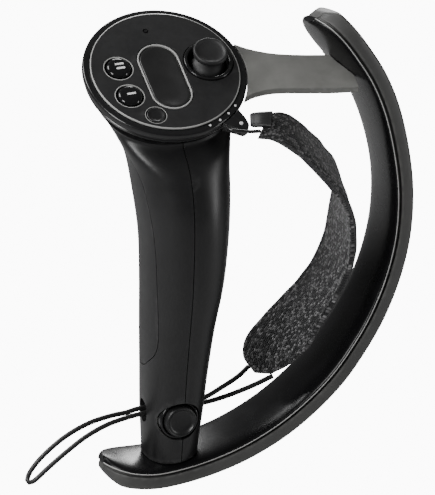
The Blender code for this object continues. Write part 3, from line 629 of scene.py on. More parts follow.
def latheMesh(name, profile, place=None, steps=96, sharp=38.0):
    # (radius, height) points turned about Z; closed if the profile is off the axis.
    shape = bmesh.new()
    rows = []
    for radius, height in [tuple(p) for p in profile]:
        if radius < 1e-7:
            rows.append([shape.verts.new((0.0, 0.0, height))])
            continue
        rows.append([shape.verts.new((radius * math.cos(2 * math.pi * i / steps),
                                      radius * math.sin(2 * math.pi * i / steps), height))
                     for i in range(steps)])
    pairs = list(zip(rows, rows[1:]))
    if len(rows[0]) > 1:
        pairs.append((rows[-1], rows[0]))
    for low, high in pairs:
        for i in range(steps):
            j = (i + 1) % steps
            corners = [low[i % len(low)], low[j % len(low)], high[j % len(high)], high[i % len(high)]]
            corners = list(dict.fromkeys(corners))
            if len(corners) > 2:
                shape.faces.new(corners)
    return toMesh(shape, name, place, sharp)


def loftMesh(name, rings, sharp=38.0, mapped=None):
    # Joins closed rings of equal point counts and caps both ends.
    shape = bmesh.new()
    rows = [[shape.verts.new(point) for point in ring] for ring in rings]
    count = len(rows[0])
    sheet = shape.loops.layers.uv.new("UVMap") if mapped else None
    for k, (low, high) in enumerate(zip(rows, rows[1:])):
        for i in range(count):
            j = (i + 1) % count
            face = shape.faces.new((low[i], low[j], high[j], high[i]))
            if mapped:
                marks = (mapped(k, i), mapped(k, i + 1), mapped(k + 1, i + 1), mapped(k + 1, i))
                for loop, mark in zip(face.loops, marks):
                    loop[sheet].uv = mark
    ends = [shape.faces.new(rows[0]), shape.faces.new(rows[-1])]
    if mapped:
        for face, k in zip(ends, (0, len(rows) - 1)):
            for i, loop in enumerate(face.loops):
                loop[sheet].uv = mapped(k, i)
    return toMesh(shape, name, None, sharp)


def tubeMesh(name, points, radius, sides=12):
    # A round bead through points in mm.
    line = [p * mm for p in smoothLine([Vector(p) for p in points], 8)]
    rings = []
    for k, point in enumerate(line):
        along = line[min(k + 1, len(line) - 1)] - line[max(k - 1, 0)]
        turn = along.to_track_quat("Z", "Y")
        angles = [2 * math.pi * i / sides for i in range(sides)]
        rings.append([point + turn @ Vector((radius * math.cos(a), radius * math.sin(a),
                                             0.0)) for a in angles])
    return loftMesh(name, rings)


def slabMesh(name, outlines, low, high, rounding, place=None, segments=3):
    # A flat outline with holes, extruded, and its edges rounded.
    data = bpy.data.curves.new(name, "CURVE")
    data.dimensions = "2D"
    data.fill_mode = "BOTH"
    data.extrude = (high - low) / 2
    for outline in outlines:
        spline = data.splines.new("POLY")
        spline.points.add(len(outline) - 1)
        for point, at in zip(spline.points, outline):
            point.co = (at[0], at[1], 0.0, 1.0)
        spline.use_cyclic_u = True
    item = bpy.data.objects.new(name, data)
    scene.collection.objects.link(item)
    mesh = evaluatedMesh(item)
    bpy.data.objects.remove(item, do_unlink=True)
    shape = bmesh.new()
    shape.from_mesh(mesh)
    shape.verts.ensure_lookup_table()
    bmesh.ops.remove_doubles(shape, verts=shape.verts, dist=0.0000005)
    bmesh.ops.dissolve_limit(shape, angle_limit=0.01, verts=shape.verts, edges=shape.edges)
    bmesh.ops.recalc_face_normals(shape, faces=shape.faces)
    shape.to_mesh(mesh)
    shape.free()
    mesh.transform(Matrix.Translation((0.0, 0.0, (low + high) / 2)))
    mesh = rounded(mesh, rounding, segments)
    if place is not None:
        mesh.transform(place)
    return mesh


def evaluatedMesh(item):
    bpy.context.view_layer.update()
    graph = bpy.context.evaluated_depsgraph_get()
    return bpy.data.meshes.new_from_object(item.evaluated_get(graph))


def rounded(mesh, width, segments=3, limit=35.0):
    # Bevelled edges with face-weighted normals, applied.
    mesh.shade_smooth()
    item = bpy.data.objects.new(mesh.name, mesh)
    scene.collection.objects.link(item)
    soften = item.modifiers.new("soften", "BEVEL")
    soften.width = width
    soften.segments = segments
    soften.limit_method = "ANGLE"
    soften.angle_limit = math.radians(limit)
    soften.harden_normals = False
    weigh = item.modifiers.new("weigh", "WEIGHTED_NORMAL")
    weigh.keep_sharp = True
    made = evaluatedMesh(item)
    made.name = mesh.name
    bpy.data.objects.remove(item, do_unlink=True)
    return made


def cutMesh(mesh, *cutters, operation="DIFFERENCE", solver="EXACT"):
    item = bpy.data.objects.new(mesh.name, mesh)
    scene.collection.objects.link(item)
    helpers = []
    for cutter in cutters:
        helper = bpy.data.objects.new("cutter", cutter)
        scene.collection.objects.link(helper)
        helpers.append(helper)
        boolean = item.modifiers.new("cut", "BOOLEAN")
        boolean.operation = operation
        boolean.solver = solver
        boolean.object = helper
    made = evaluatedMesh(item)
    for helper in helpers + [item]:
        bpy.data.objects.remove(helper, do_unlink=True)
    return made


def addPiece(name, mesh, look, body="root", stands=(), slot=None):
    piece = bpy.data.objects.new(name, mesh)
    scene.collection.objects.link(piece)
    mesh.materials.clear()
    mesh.materials.append(looks[look])
    if body:
        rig.ride(piece, body)
    if stands:
        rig.replaces(piece, *stands)
    if slot:
        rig.slot(piece, slot)
    return piece


# Tightening cord.

cord = {
    "diameter": 0.0018,
    "step": 0.0034,
    "route": (
        (31.1, 6.1, -37.1), (26.8, 5.0, -39.8), (19.6, 3.4, -42.5), (12.0, 1.6, -44.4), (0.0, 1.45, -44.6),
        (-11.0, 1.6, -44.6), (-16.2, 1.7, -45.5), (-21.4, 1.9, -45.9), (-29.6, 2.1, -47.5),
        (-38.2, 2.2, -51.2), (-45.4, 2.3, -56.3), (-50.2, 2.3, -61.0), (-52.8, 1.5, -64.4),
        (-53.3, -0.4, -65.6), (-51.6, -2.0, -64.5), (-46.9, -2.3, -60.5), (-40.4, -2.2, -55.7),
        (-32.9, -2.0, -50.9), (-25.5, -1.8, -47.7), (-18.8, -1.7, -46.1), (-11.3, -1.6, -45.2),
        (0.0, -1.45, -44.9), (12.0, -1.7, -44.5), (20.0, -3.0, -42.6), (28.6, -4.4, -39.6),
        (36.2, -4.6, -36.9),
    ),
}


def makeCord():
    line = evenLine([p * mm for p in smoothLine(cord["route"], 8)], cord["step"] / 2)
    data = bpy.data.curves.new("tighteningCord", "CURVE")
    data.dimensions = "3D"
    data.bevel_depth = cord["diameter"] / 2
    data.bevel_resolution = 4
    data.use_fill_caps = True
    spline = data.splines.new("POLY")
    spline.points.add(len(line) - 1)
    for point, at in zip(spline.points, line):
        point.co = (*at, 1.0)
    spline.use_smooth = True
    data.materials.append(looks["cord"])
    piece = bpy.data.objects.new("tighteningCord", data)
    scene.collection.objects.link(piece)
    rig.ride(piece, "root")
    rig.replaces(piece, "tightening_cord")
    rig.slot(piece, "cord_fabric")
    length = lineLengths(line)[-1]
    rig.cord(piece, exit=tuple(line[0]), length=round(length, 4), diameter=cord["diameter"],
            far_end="object", stiffness="limp", lay="loose")
    print("cord length", round(length, 4))


makeCord()


# Thumb deck, with its pad, buttons and stick.

plate = {
    "radius": 0.0264, "thick": 0.0022, "rim": 0.0292,
    "pad": (-0.00085, -0.0025), "padWidth": 0.0150, "padLength": 0.0300,
    "buttonA": (-0.0160, -0.0088), "buttonB": (-0.0160, 0.0042), "buttonHole": 0.0051,
    "buttonRadius": 0.0044,
    "system": (-0.0096, -0.0190), "systemRadius": 0.0034,
    "stick": (0.0165, 0.0013), "pivot": -0.0062, "well": 0.00875, "skirt": 0.0074,
    "led": (-0.0010, 0.0190), "gap": 0.0003,
}


def makeDeck():
    p = plate
    gap = p["gap"]
    outlines = [
        circleLine(p["radius"], count=160),
        stadiumLine(p["padWidth"] + 2 * gap, p["padLength"] + 2 * gap, p["pad"]),
        circleLine(p["buttonHole"], p["buttonA"], 64),
        circleLine(p["buttonHole"], p["buttonB"], 64),
        circleLine(p["systemRadius"] + gap, p["system"], 56),
        circleLine(p["well"] + gap, p["stick"], 88),
        circleLine(0.0010, p["led"], 24),
    ]
    mesh = slabMesh("deckPlate", outlines, -p["thick"], 0.0, 0.00028, deckPlace)
    addPiece("deckPlate", mesh, "shell", stands=["face_plate"], slot="black_shell")

    rim = p["rim"]
    seat = -p["thick"] - gap
    profile = [
        (p["radius"] + gap, -0.0007), (rim - 0.0004, -0.0008), (rim, -0.0013), (rim, -0.0031),
        (rim - 0.0013, -0.0036), (rim - 0.0013, -0.0048), (rim - 0.0008, -0.0052), (rim - 0.0015, -0.0065),
        (rim - 0.0027, -0.0070), (rim - 0.0034, -0.0086), (rim - 0.0042, -0.0100), (0.0232, -0.0100),
        (0.0246, -0.0085), (0.0254, -0.0065), (0.0254, seat), (p["radius"] + gap, seat),
    ]
    mesh = latheMesh("deckHousing", filleted(profile, 0.0004, True), deckPlace, 160)
    addPiece("deckHousing", mesh, "rim", stands=["head_housing"], slot="black_shell")

    # A thin light grey ring, a painted highlight where the plate's edge catches the light.
    ring = [(p["radius"] - 0.00012, 0.00004), (p["radius"] + 0.00022, -0.00012),
            (p["radius"] + 0.00022, -0.0006),
            (p["radius"] - 0.00012, -0.0006)]
    mesh = latheMesh("deckEdgeHighlight", ring, deckPlace, 160)
    addPiece("deckEdgeHighlight", mesh, "line", slot="grey_plastic")

    # Four white adjustment marks on the rim.
    shape = bmesh.new()
    for degrees in (-44.6, -54.0, -63.5, -73.0):
        angle = math.radians(degrees)
        spot = Matrix.Translation((0.0278 * math.cos(angle), 0.0278 * math.sin(angle), -0.00076))
        bmesh.ops.create_cone(shape, cap_ends=True, segments=20, radius1=0.00052, radius2=0.00044,
                              depth=0.00016,
                              matrix=spot)
    addPiece("strapMarks", toMesh(shape, "strapMarks", deckPlace), "white", slot="white_mark")


def makePad():
    p = plate
    width = p["padWidth"] - 0.0016
    length = p["padLength"] - 0.0016
    steps = [(0.0, -0.0019), (0.0, -0.00055), (0.00012, -0.00022), (0.0004, -0.0001), (0.0009, -0.00012)]
    steps += [(0.0009 + 0.0055 * (i / 10), -0.00012 - 0.00085 * math.sin(0.5 * math.pi * i / 10))
              for i in range(1, 11)]
    rings = []
    for inset, height in steps:
        outline = stadiumLine(width - 2 * inset, length - 2 * inset, p["pad"])
        rings.append([deckPoint(x, y, height) for x, y in outline])
    mesh = loftMesh("trackpadTop", rings, 50.0)
    addPiece("trackpadTop", mesh, "pad", stands=["trackpad"], slot="black_satin")

    # The trackpad's trim, a real part, coloured light grey as a painted highlight line round the pad.
    outer = stadiumLine(p["padWidth"], p["padLength"], p["pad"])
    inner = stadiumLine(p["padWidth"] - 0.0011, p["padLength"] - 0.0011, p["pad"])
    mesh = slabMesh("trackpadTrimHighlight", [outer, inner], -0.0022, 0.00012, 0.00016, deckPlace)
    addPiece("trackpadTrimHighlight", mesh, "line", stands=["trackpad_trim"], slot="grey_plastic")


def squareRing(inner, outer, top):
    return [(inner, top), (outer, top), (outer, -0.0005), (inner, -0.0005)]


def makeButtons():
    p = plate
    r = p["buttonRadius"]
    for letter, spot in (("A", p["buttonA"]), ("B", p["buttonB"])):
        lower = letter.lower()
        profile = [(0.0, 0.0014), (r * 0.3, 0.00137), (r * 0.55, 0.00126), (r - 0.0010, 0.00105),
                   (r - 0.0004, 0.00072), (r - 0.0001, 0.0002), (r, -0.0004), (r, -0.0025),
                   (0.0056, -0.0026),
                   (0.0056, -0.0034), (0.0, -0.0034)]
        mesh = latheMesh("button" + letter, smoothProfile(profile[:7], 4) + profile[7:], onDeck(*spot), 72)
        addPiece("button" + letter, mesh, "gloss", "button_" + lower, ["button_" + lower], "black_gloss")
        shape = bmesh.new()
        bars = (0.0,) if letter == "A" else (0.00095, -0.00095)
        for up in bars:
            line = stadiumLine(0.0009, 0.0034, (0.0, 0.0), 8)
            low = [shape.verts.new((0.0004 + y, up + x, 0.00118)) for x, y in line]
            high = [shape.verts.new((0.0004 + y * 0.97, up + x * 0.9, 0.00146)) for x, y in line]
            for i in range(len(line)):
                j = (i + 1) % len(line)
                shape.faces.new((low[i], low[j], high[j], high[i]))
            shape.faces.new(low)
            shape.faces.new(high)
        mesh = toMesh(shape, "mark" + letter, onDeck(*spot))
        addPiece("mark" + letter, mesh, "white", "button_" + lower, slot="white_mark")
        # A light grey ring at each button hole's lip: a painted highlight.
        lip = squareRing(p["buttonHole"] - 0.00002, p["buttonHole"] + 0.0003, 0.00006)
        mesh = latheMesh("holeLipHighlight" + letter, filleted(lip, 0.00008, True, 2), onDeck(*spot), 64)
        addPiece("holeLipHighlight" + letter, mesh, "line", slot="grey_plastic")

    s = p["systemRadius"]
    profile = [(0.0, -0.0002), (s * 0.5, -0.00014), (s - 0.0009, 0.0001), (s - 0.0004, 0.00026),
               (s - 0.00012, 0.0001),
               (s, -0.0003), (s, -0.0025), (s - 0.0006, -0.0026), (s - 0.0006, -0.0034), (0.0, -0.0034)]
    mesh = latheMesh("systemButton", smoothProfile(profile[:6], 4) + profile[6:], onDeck(*p["system"]), 64)
    addPiece("systemButton", mesh, "satin", "system_button", ["system_button"], "black_gloss")
    # A light grey ring at the system button's hole: a painted highlight.
    lip = squareRing(s + 0.0003, s + 0.00052, 0.00005)
    mesh = latheMesh("systemLipHighlight", filleted(lip, 0.00006, True, 2), onDeck(*p["system"]), 56)
    addPiece("systemLipHighlight", mesh, "line", slot="grey_plastic")


def smoothProfile(profile, perSpan=4):
    return [tuple(point) for point in smoothLine([Vector(point) for point in profile], perSpan)]


def spherePoint(radius, degrees):
    angle = math.radians(degrees)
    return radius * math.sin(angle), plate["pivot"] + radius * math.cos(angle)


def makeStick():
    p = plate
    at = onDeck(*p["stick"])
    well = p["well"]
    profile = [(well - 0.0013, 0.0005), (well - 0.0008, 0.0007), (well - 0.0002, 0.0006), (well, 0.0002),
               (well, -0.0022), (0.0069, -0.0022), (0.0067, -0.0014), (0.0072, -0.0004)]
    mesh = latheMesh("stickWell", filleted(profile, 0.0003, True), at, 96)
    addPiece("stickWell", mesh, "rim", stands=["stick_well_ring"], slot="black_satin")

    r = p["skirt"]
    outer = [(0.0, 0.0034), (0.0023, 0.0034), (0.0023, 0.0013)] + [spherePoint(r, a) for a in range(20, 69,
                                                                                                    4)]
    inner = [spherePoint(r - 0.0008, a) for a in range(68, 17, -5)] + [(0.0012, -0.0002),
                                                                       (0.0012, -0.0090), (0.0, -0.0090)]
    mesh = latheMesh("stickSkirt", outer + inner, at, 72)
    addPiece("stickSkirt", mesh, "rubber", "thumbstick", ["thumbstick_stem"], "rubber")

    top = [(0.0, 0.0049), (0.0015, 0.00492), (0.0030, 0.00503), (0.0044, 0.00535), (0.0051, 0.00578),
           (0.00555, 0.0059),
           (0.0059, 0.0057), (0.00612, 0.0051), (0.0060, 0.0042), (0.0056, 0.0038), (0.0050, 0.0037),
           (0.0, 0.0037)]
    mesh = latheMesh("stickCap", smoothProfile(top[:11], 4) + [top[11]], at, 96)
    addPiece("stickCap", mesh, "rubber", "thumbstick", ["thumbstick_cap"], "rubber")


makeDeck()
makePad()
makeButtons()
makeStick()
print("deck, pad, buttons and stick")


# Handle: two shells and the squeeze panel.

handle = {
    # centre x, centre y, centre z, tilt in degrees, half width, half depth (mm), from the base up
    "sections": (
        (-0.9, 0.4, -67.0, 0.0, 9.0, 10.4), (-0.5, 0.2, -56.0, 0.0, 9.7, 11.8),
        (0.0, 0.0, -45.0, 0.0, 10.5, 13.4),
        (0.5, -1.0, -30.0, 0.0, 11.3, 14.6), (1.1, -2.8, -12.0, 0.0, 12.5, 16.2),
        (2.2, -4.5, 6.0, 0.0, 14.0, 18.1),
        (2.7, -5.0, 24.0, 0.0, 15.1, 19.3), (2.3, -3.5, 40.0, 6.0, 16.5, 20.9),
        (1.7, -0.5, 53.0, 13.0, 17.9, 22.2),
        (0.8, 4.0, 63.0, 20.0, 20.8, 24.0), (0.3, 9.5, 70.2, 24.0, 23.7, 24.7),
        (0.0, 10.35, 72.67, 25.0, 25.1, 25.1),
    ),
    "wall": 2.4, "squareness": 2.25, "around": 40, "perSpan": 8,
    "panel": ((30.0, -27.5), (3.0, -27.0), (-6.0, -23.0), (-12.2, -14.0), (-14.0, 10.0), (-13.2, 36.0),
              (-7.5, 52.0),
              (6.0, 59.5), (30.0, 61.0)),
    "lock": (-0.001, -0.045),
}


def ovalAngle(share):
    return math.acos(math.copysign(abs(share) ** (handle["squareness"] / 2), share))


def ovalPoint(section, angle, inset=0.0):
    x, y, z, tilt, halfWidth, halfDepth = section
    power = 2 / handle["squareness"]
    across = (halfWidth - inset) * math.copysign(abs(math.cos(angle)) ** power, math.cos(angle))
    deep = (halfDepth - inset) * math.copysign(abs(math.sin(angle)) ** power, math.sin(angle))
    tip = math.radians(tilt)
    return Vector(((x + across) * mm, (y + deep * math.cos(tip)) * mm, (z + deep * math.sin(tip)) * mm))


def halfHandle(name, side):
    rings = []
    count = handle["around"]
    for section in smoothLine([Vector(s) for s in handle["sections"]], handle["perSpan"]):
        ring = []
        for inset, order in ((0.0, 1), (handle["wall"], -1)):
            edge = ovalAngle((side * 0.15 - section[0]) / (section[4] - inset))
            start, stop = (edge, 2 * math.pi - edge) if side < 0 else (-edge, edge)
            angles = [start + (stop - start) * i / count for i in range(count + 1)]
            ring += [ovalPoint(section, angle, inset) for angle in angles[::order]]
        rings.append(ring)
    return loftMesh(name, rings)


def prismX(outline, low, high, rounding=0.0):
    if rounding:
        return slabMesh("prism", [outline], low, high, rounding, alongX)
    return plainPrism(outline, low, high, alongX)


def plainPrism(outline, low, high, place):
    shape = bmesh.new()
    bottom = [shape.verts.new((x, y, low)) for x, y in outline]
    top = [shape.verts.new((x, y, high)) for x, y in outline]
    for i in range(len(outline)):
        j = (i + 1) % len(outline)
        shape.faces.new((bottom[i], bottom[j], top[j], top[i]))
    shape.faces.new(bottom)
    shape.faces.new(top)
    return toMesh(shape, "prism", place)


def panelLine(grow):
    line = smoothLine(handle["panel"], 9)
    shifted = []
    for k, point in enumerate(line):
        along = line[min(k + 1, len(line) - 1)] - line[max(k - 1, 0)]
        moved = point + Vector((-along.y, along.x)).normalized() * grow
        shifted.append((moved.x * mm, moved.y * mm))
    return shifted


def frontPlace():
    x, z = handle["lock"]
    return Matrix.Translation((x, 0.0, z)) @ Matrix.Rotation(math.radians(90), 4, "X")


ring = {
    # the line that the front ridge follows (x, z), in mm, from the lower tip round to the upper one
    "line": (
        (-26.0, -60.4), (-16.0, -62.6), (-5.0, -63.2), (10.0, -61.0), (24.7, -56.4), (39.2, -48.7),
        (53.2, -37.2),
        (62.8, -25.1), (70.1, -12.6), (75.8, 2.4), (78.8, 18.0), (78.9, 36.0), (75.4, 57.2), (70.0, 73.0),
        (62.2, 86.8), (57.2, 95.0), (54.4, 98.8),
    ),
    "endLength": 18.0, "lowerNose": 6.0, "upperNose": 2.6, "lean": 7.6, "leanLength": 50.0, "width": 25.0,
    "topSwell": 45.0, "lowSwell": 60.0, "groove": 2.3, "step": 2.5, "hollow": 4.6, "hollowFloor": 1.65,
    "ends": (0.0, 0.15, 0.4, 0.8, 1.4, 2.1, 3.0, 4.1, 5.5, 7.2, 9.0, 11.0, 13.2, 15.6),
    "port": -0.0035,
}


def ringFrames(start=0.0, stop=0.0, step=None):
    line = evenLine(smoothLine(ring["line"], 8), 1.0)
    length = lineLengths(line)[-1]
    spacing = length / (len(line) - 1)
    first, last = start, length - stop
    reach = last - first - 2 * ring["endLength"]
    count = max(2, round(reach / (step or ring["step"])))
    places = [first + d for d in ring["ends"]]
    places += [first + ring["endLength"] + reach * i / count for i in range(count + 1)]
    places += [last - d for d in ring["ends"][::-1]]
    frames = []
    for place in places:
        k = min(len(line) - 2, int(place / spacing))
        point = line[k].lerp(line[k + 1], place / spacing - k)
        along = (line[min(k + 3, len(line) - 1)] - line[max(k - 2, 0)]).normalized()
        end = min(place - first, last - place)
        near = min(end / ring["endLength"], 1.0)
        wide = max(0.20, math.sqrt(1.0 - (1.0 - near) ** 2.4))
        top = length - place
        above = math.exp(-((top / ring["topSwell"]) ** 2))
        below = math.exp(-(((place - ring["lowSwell"]) / ring["topSwell"]) ** 2))
        full = 1.06 + 0.10 * above + 0.10 * below
        nose = ring["lowerNose"] if place - first < last - place else ring["upperNose"]
        thick = full * (0.25 + 0.75 * min(end / nose, 1.0) ** 0.6)
        lean = ring["lean"] * math.exp(-((top / ring["leanLength"]) ** 2)) / ring["width"]
        deep = min(end / 3.0, 1.0)
        frames.append((point, Vector((along.y, -along.x)), wide, thick, lean, deep))
    return frames


def ringBand(name, section, start=0.0, stop=0.0, step=None, tongue=True, sharp=38.0):
    rings = []
    for point, out, wide, thick, lean, deep in ringFrames(start, stop, step):
        ringPoints = []
        for y, level in section:
            if level == ring["hollow"]:
                level = ring["hollowFloor"] + (level - ring["hollowFloor"]) * deep
            if tongue:
                y *= wide
            if tongue and level > ring["groove"]:
                level = ring["groove"] + (level - ring["groove"]) * thick
            at = point + out * (level - lean * (y + ring["width"] / 2))
            ringPoints.append((at.x * mm, y * mm, at.y * mm))
        rings.append(ringPoints)
    return loftMesh(name, rings, sharp)


def bothSides(half):
    return half + [(-y, t) for y, t in half[::-1] if y != 0.0]


def ringClearance():
    half = [(0.0, -1.5), (-8.5, -1.1), (-14.0, -0.6), (-14.0, 7.0), (0.0, 7.0)]
    return ringBand("clearance", bothSides(half), step=7.0, tongue=False)


def makeHandle():
    left, right, panel = halfHandle("handleLeft", -1), halfHandle("handleRight",
                                                                  1), halfHandle("squeezePanel", -1)
    opening = prismX(panelLine(0.3), -0.05, 0.0)
    inside = prismX(panelLine(0.0), -0.05, -0.0006)
    left = cutMesh(left, opening)
    panel = cutMesh(panel, inside, operation="INTERSECT")
    bore = plainPrism(circleLine(0.0075, count=64), 0.0050, 0.030, frontPlace())
    slotHeight = handle["lock"][1] + 0.0004
    slotPlace = Matrix.Translation((0.0, 0.0, slotHeight)) @ alongX
    slot = plainPrism(stadiumLine(0.0062, 0.0086), -0.030, 0.030, slotPlace)
    mouth = prismX([(0.016, 0.0650), (0.050, 0.0650), (0.050, 0.0806), (0.016, 0.0806)], -0.0076, 0.0076)
    cutters = (ringClearance(), bore, slot, mouth)
    for name, mesh, node in (("handleLeft", left, "handle_shell_left"),
                             ("handleRight", right, "handle_shell_right")):
        made = rounded(cutMesh(mesh, *cutters), 0.00022, 2, 50.0)
        addPiece(name, made, "satin", stands=[node], slot="black_satin")
    addPiece("squeezePanel", rounded(panel, 0.0003, 2, 50.0), "shell", stands=["squeeze_panel"],
             slot="black_shell")


makeHandle()
print("handle")


# Trigger.

trigger = {
    "pivot": (0.0228, 0.0756),
    "shape": ((20.3, 77.6), (25.8, 79.0), (33.0, 78.6), (38.6, 74.6), (40.6, 68.0), (39.6, 61.0),
              (38.8, 56.4),
              (40.4, 52.4), (39.0, 51.0), (36.2, 52.6), (34.2, 58.0), (32.0, 64.6), (27.8, 69.8),
              (21.0, 72.4)),
}


def makeTrigger():
    outline = [tuple(p * mm) for p in smoothLine(trigger["shape"], 8, closed=True)]
    lever = prismX(outline, -0.0070, 0.0070, 0.0016)
    hole = plainPrism(circleLine(0.00125, trigger["pivot"], 32), -0.02, 0.02, alongX)
    addPiece("triggerLever", cutMesh(lever, hole), "satin", "trigger", ["trigger"], "black_satin")


makeTrigger()


# Cord lock.

def makeLock():
    front = frontPlace()
    profile = [(0.0061, 0.0113), (0.0064, 0.0117), (0.0069, 0.0116), (0.0072, 0.0111), (0.0072, 0.0084),
               (0.0061, 0.0084)]
    mesh = latheMesh("lockRing", filleted(profile, 0.00025, True), front, 72)
    addPiece("lockRing", mesh, "rim", stands=["lock_ring"], slot="black_shell")
    top = [(0.0, 0.0127), (0.0020, 0.01275), (0.0037, 0.01295), (0.0043, 0.01325), (0.0046, 0.0135),
           (0.0050, 0.01388),
           (0.0054, 0.01386), (0.0057, 0.0134), (0.0058, 0.0125)]
    mesh = latheMesh("lockButton", smoothProfile(top, 4) + [(0.0058, 0.0083), (0.0, 0.0083)], front, 72)
    addPiece("lockButton", mesh, "satin", "cord_lock", ["cord_lock_button"], "black_satin")


makeLock()
print("trigger and cord lock")


# Tracking ring and bridge.

def makeRing():
    inner = [(0.0, -1.2), (-3.0, -1.17), (-6.0, -1.0), (-8.5, -0.75), (-10.2, -0.42), (-11.4, -0.05),
             (-12.1, 0.3),
             (-12.5, 0.62), (-12.62, 0.9), (-12.5, 1.15), (-12.1, 1.28), (-11.2, 1.3)]
    outer = [(0.0, 7.5), (-4.0, 7.46), (-7.5, 7.32), (-10.0, 7.05), (-11.3, 6.75), (-11.9, 6.35),
             (-12.25, 5.7),
             (-12.5, 4.4), (-12.6, 3.3), (-12.58, 2.75), (-12.4, 2.42), (-12.0, 2.3), (-11.1, 2.3),
             (-11.1, 1.6),
             (-9.6, 1.6), (-9.6, ring["hollow"])]
    port = stadiumLine(0.0042, 0.0100, (ring["port"], 0.0))
    through = plainPrism(port, -0.080, -0.050, Matrix.Identity(4))
    seat = plainPrism(stadiumLine(0.0086, 0.0156, (ring["port"], 0.0)), -0.080, -0.0682, Matrix.Identity(4))
    mesh = cutMesh(ringBand("ringInner", bothSides(inner)), through)
    addPiece("ringInner", mesh, "ringInner", stands=["ring_inner_shell"], slot="black_satin")
    mesh = cutMesh(ringBand("ringOuter", bothSides(outer), 0.6, 0.6), through, seat)
    addPiece("ringOuter", mesh, "ringGrey", stands=["ring_outer_shell"], slot="ring_grey")


def makeRidge():
    # A light grey bead along the inner shell's front and rear edges: a painted highlight.
    for name, side in (("ridgeHighlightFront", -1), ("ridgeHighlightRear", 1)):
        rings = []
        for point, out, wide, _, lean, _ in ringFrames():
            middle = Vector((side * 12.45 * wide, 1.0))
            loop = []
            for i in range(10):
                angle = 2 * math.pi * i / 10
                y = middle.x + 0.30 * math.cos(angle)
                at = point + out * (middle.y + 0.22 * math.sin(angle) - lean * (y + ring["width"] / 2))
                loop.append((at.x * mm, y * mm, at.y * mm))
            rings.append(loop)
        addPiece(name, loftMesh(name, rings), "line", slot="grey_plastic")


def makeBridge():
    rim = plate["rim"] + plate["gap"]
    outline = []
    for i in range(31):
        angle = math.radians(-34.0 + 50.0 * i / 30)
        outline.append((rim * math.cos(angle), rim * math.sin(angle)))
    top = smoothLine([outline[-1], (33.5e-3, 4.6e-3), (41e-3, 1.2e-3), (51e-3, -1.4e-3), (66e-3, -4.2e-3)],
                     10)
    bottom = smoothLine([(66e-3, -19.4e-3), (56e-3, -18.2e-3), (46e-3, -16.2e-3), (36e-3, -14.6e-3),
                         (29e-3, -15.0e-3),
                         outline[0]], 8)
    outline += [tuple(p) for p in top[1:]] + [tuple(p) for p in bottom[:-1]]
    mesh = slabMesh("bridgeArm", [outline], -0.0040, -0.0010, 0.0007, deckPlace, 4)
    mesh = cutMesh(mesh, ringClearance(), solver="MANIFOLD")
    shape = bmesh.new()
    shape.from_mesh(mesh)
    bmesh.ops.dissolve_limit(shape, angle_limit=math.radians(1.5), verts=shape.verts, edges=shape.edges)
    shape.to_mesh(mesh)
    shape.free()
    addPiece("bridgeArm", rounded(mesh, 0.00012, 2), "grey", stands=["bridge_arm"], slot="grey_plastic")

    # A light grey bead at the edge of the bridge's foot on the ring: a painted highlight crest.
    foot = ((60.2, 10.2, 78.1), (62.2, 7.2, 75.8), (63.9, 2.6, 74.7), (65.9, -0.2, 72.6),
            (67.8, -0.8, 69.1))
    addPiece("bridgeFootHighlight", tubeMesh("bridgeFootHighlight", foot, 0.0003), "line", slot="grey_plastic")


makeRing()
makeRidge()
makeBridge()
print("ring and bridge")


# Strap, its tab and its anchor.

strap = {
    # front edge and rear edge, from the deck down to the cord end (mm)
    "edges": (
        ((22.8, -26.8, 66.8), (29.8, -19.1, 71.4)), ((28.5, -27.6, 65.4), (34.6, -17.0, 70.4)),
        ((37.5, -26.0, 58.3), (40.8, -13.2, 65.2)),
        ((44.9, -24.0, 50.1), (48.7, -7.5, 56.2)), ((51.2, -22.0, 42.0), (55.5, -2.1, 47.3)),
        ((56.6, -20.0, 34.6), (60.8, 2.0, 39.0)), ((60.7, -18.0, 26.5), (63.3, 6.7, 28.8)),
        ((62.3, -17.0, 17.6), (62.5, 9.0, 17.0)), ((61.9, -16.0, 8.7), (60.6, 9.9, 6.9)),
        ((60.1, -15.0, 0.9), (57.1, 10.7, -1.4)), ((56.0, -14.0, -7.8), (51.1, 11.5, -9.7)),
        ((50.0, -13.2, -17.7), (41.9, 11.9, -18.6)), ((47.6, -12.0, -23.6), (32.6, 11.2, -27.6)),
        ((44.6, -9.0, -28.7), (30.0, 8.2, -33.4)), ((40.2, -5.2, -34.2), (31.8, 3.2, -37.4)),
        ((36.0, -2.2, -37.2), (33.2, 2.2, -38.4)),
    ),
    "thick": 2.8, "perSpan": 9, "across": 30, "hem": 0.80, "stitchPitch": 0.0021, "stitchLength": 0.0013,
    "stitchThick": 0.00022,
}


def bandRows(edges, perSpan):
    # Middle, half width and outward direction along a band given by its two edges (mm).
    line = smoothLine([Vector((*front, *rear)) for front, rear in edges], perSpan)
    middles = [(Vector(p[:3]) + Vector(p[3:])) / 2 for p in line]
    rows = []
    for k, point in enumerate(line):
        across = (Vector(point[:3]) - Vector(point[3:])) / 2
        along = middles[min(k + 1, len(line) - 1)] - middles[max(k - 1, 0)]
        rows.append((middles[k], across, along.cross(across).normalized()))
    return rows


def strapHeight(share):
    # Half thickness across the strap (mm): a soft crown, a seam furrow inside each hem, and a rolled edge.
    edge = abs(share)
    crown = 0.92 + 0.12 * math.cos(edge * math.pi / 2)
    roll = max(0.0, 1.0 - max(0.0, (edge - 0.90) / 0.10) ** 2.2) ** 0.5
    furrow = 0.30 * math.exp(-((edge - strap["hem"]) / 0.035) ** 2)
    return strap["thick"] / 2 * (crown * roll - furrow * roll)


def strapPoint(row, share, side):
    middle, across, out = row
    at = middle + across * share + out * side * strapHeight(share)
    pucker = noise.noise(Vector((at.x * 0.16, at.y * 0.16, at.z * 0.16 + 7.0))) * 0.30
    return (at + out * pucker) * mm


